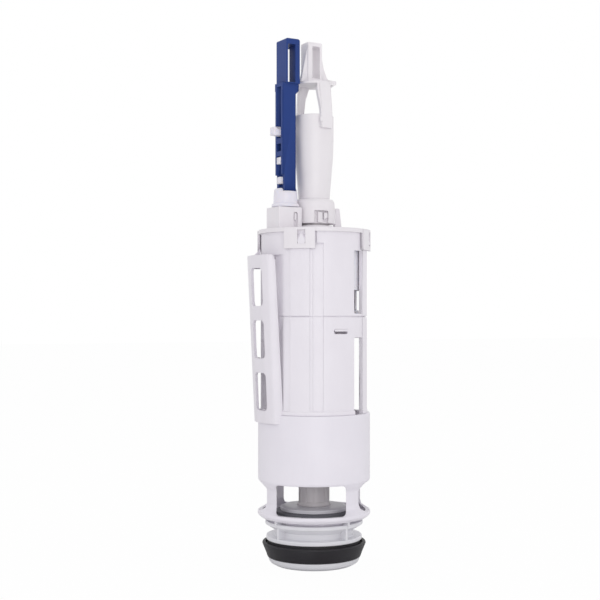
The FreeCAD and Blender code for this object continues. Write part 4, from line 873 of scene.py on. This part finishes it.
# Camera: level, on a circle round the valve, framed as in the photo. Lengths are in metres
view = {"distance": 0.770, "height": 0.1605, "lens": 71.1, "direction": (-0.5, -0.866),
        "framePixels": 600, "axisPixel": 314, "horizonPixel": 316}
cameraData = bpy.data.cameras.new("viewCamera")
cameraData.lens = view["lens"]
cameraData.shift_x = 0.5 - view["axisPixel"] / view["framePixels"]
cameraData.shift_y = view["horizonPixel"] / view["framePixels"] - 0.5
across, along = view["direction"]
camera = bpy.data.objects.new("viewCamera", cameraData)
camera.location = (across * view["distance"], along * view["distance"], view["height"])
camera.rotation_euler = (math.radians(90), 0, math.atan2(along, across) + math.radians(90))
scene.collection.objects.link(camera)
scene.camera = camera

# Lamps: broad and soft, most of the light from the front and a little from the right
lamps = {
    "front": {"place": (-0.45, -1.15, 0.16), "aim": (0, 0, 0.16), "size": 0.9, "power": 4.2},
    "right": {"place": (0.95, -0.55, 0.6), "aim": (0, 0, 0.17), "size": 0.8, "power": 0.8},
    "left": {"place": (-1.1, -0.1, 0.3), "aim": (0, 0, 0.16), "size": 0.9, "power": 0.7},
    "top": {"place": (0.0, 0.2, 1.2), "aim": (0, 0, 0.17), "size": 0.8, "power": 0.8},
}
for name, lamp in lamps.items():
    light = bpy.data.lights.new(name + "Lamp", "AREA")
    light.size = lamp["size"]
    light.energy = lamp["power"]
    stand = bpy.data.objects.new(name + "Lamp", light)
    stand.location = lamp["place"]
    stand.rotation_euler = (Vector(lamp["aim"]) - stand.location).to_track_quat("-Z", "Y").to_euler()
    stand.visible_camera = False
    scene.collection.objects.link(stand)

# World: white to the camera, in gloss and through glass, and softer as light
white = (1.0, 1.0, 1.0, 1.0)
studio = {"shown": 1.0, "light": 0.72, "floorColour": (0.94, 0.94, 0.94, 1.0), "floorShown": 0.97,
          "floorReach": 6.0}
air = Paint(bpy.data.worlds.new("studioWorld"))
seen = (air.node("ShaderNodeLightPath", out="Is Camera Ray")
        | air.node("ShaderNodeLightPath", out="Is Glossy Ray")
        | air.node("ShaderNodeLightPath", out="Is Transmission Ray"))
lightAir = air.node("ShaderNodeBackground", {}, {"Color": white, "Strength": studio["light"]})
shownAir = air.node("ShaderNodeBackground", {}, {"Color": white, "Strength": studio["shown"]})
mixedAir = air.node("ShaderNodeMixShader", {}, {0: seen, 1: lightAir, 2: shownAir})
scene.world = air.finish(mixedAir, "ShaderNodeOutputWorld")

# Floor: pale, nearly white to the camera, with a faint shadow
ground = Paint(bpy.data.materials.new("paleFloor"))
toCamera = ground.node("ShaderNodeLightPath", out="Is Camera Ray")
pale = ground.node("ShaderNodeBsdfDiffuse", {}, {"Color": studio["floorColour"]})
glow = ground.node("ShaderNodeEmission", {}, {"Color": white, "Strength": 1.0})
share = ground.node("ShaderNodeMixShader", {}, {0: toCamera * studio["floorShown"], 1: pale, 2: glow})
reach = studio["floorReach"]
floorMesh = bpy.data.meshes.new("paleFloor")
floorMesh.from_pydata([(-reach, -reach, 0), (reach, -reach, 0), (reach, reach, 0), (-reach, reach, 0)], [],
                      [(0, 1, 2, 3)])
floorMesh.materials.append(ground.finish(share))
floor = bpy.data.objects.new("paleFloor", floorMesh)
scene.collection.objects.link(floor)
scene.view_settings.view_transform = "Standard"
print("stage: studio set")
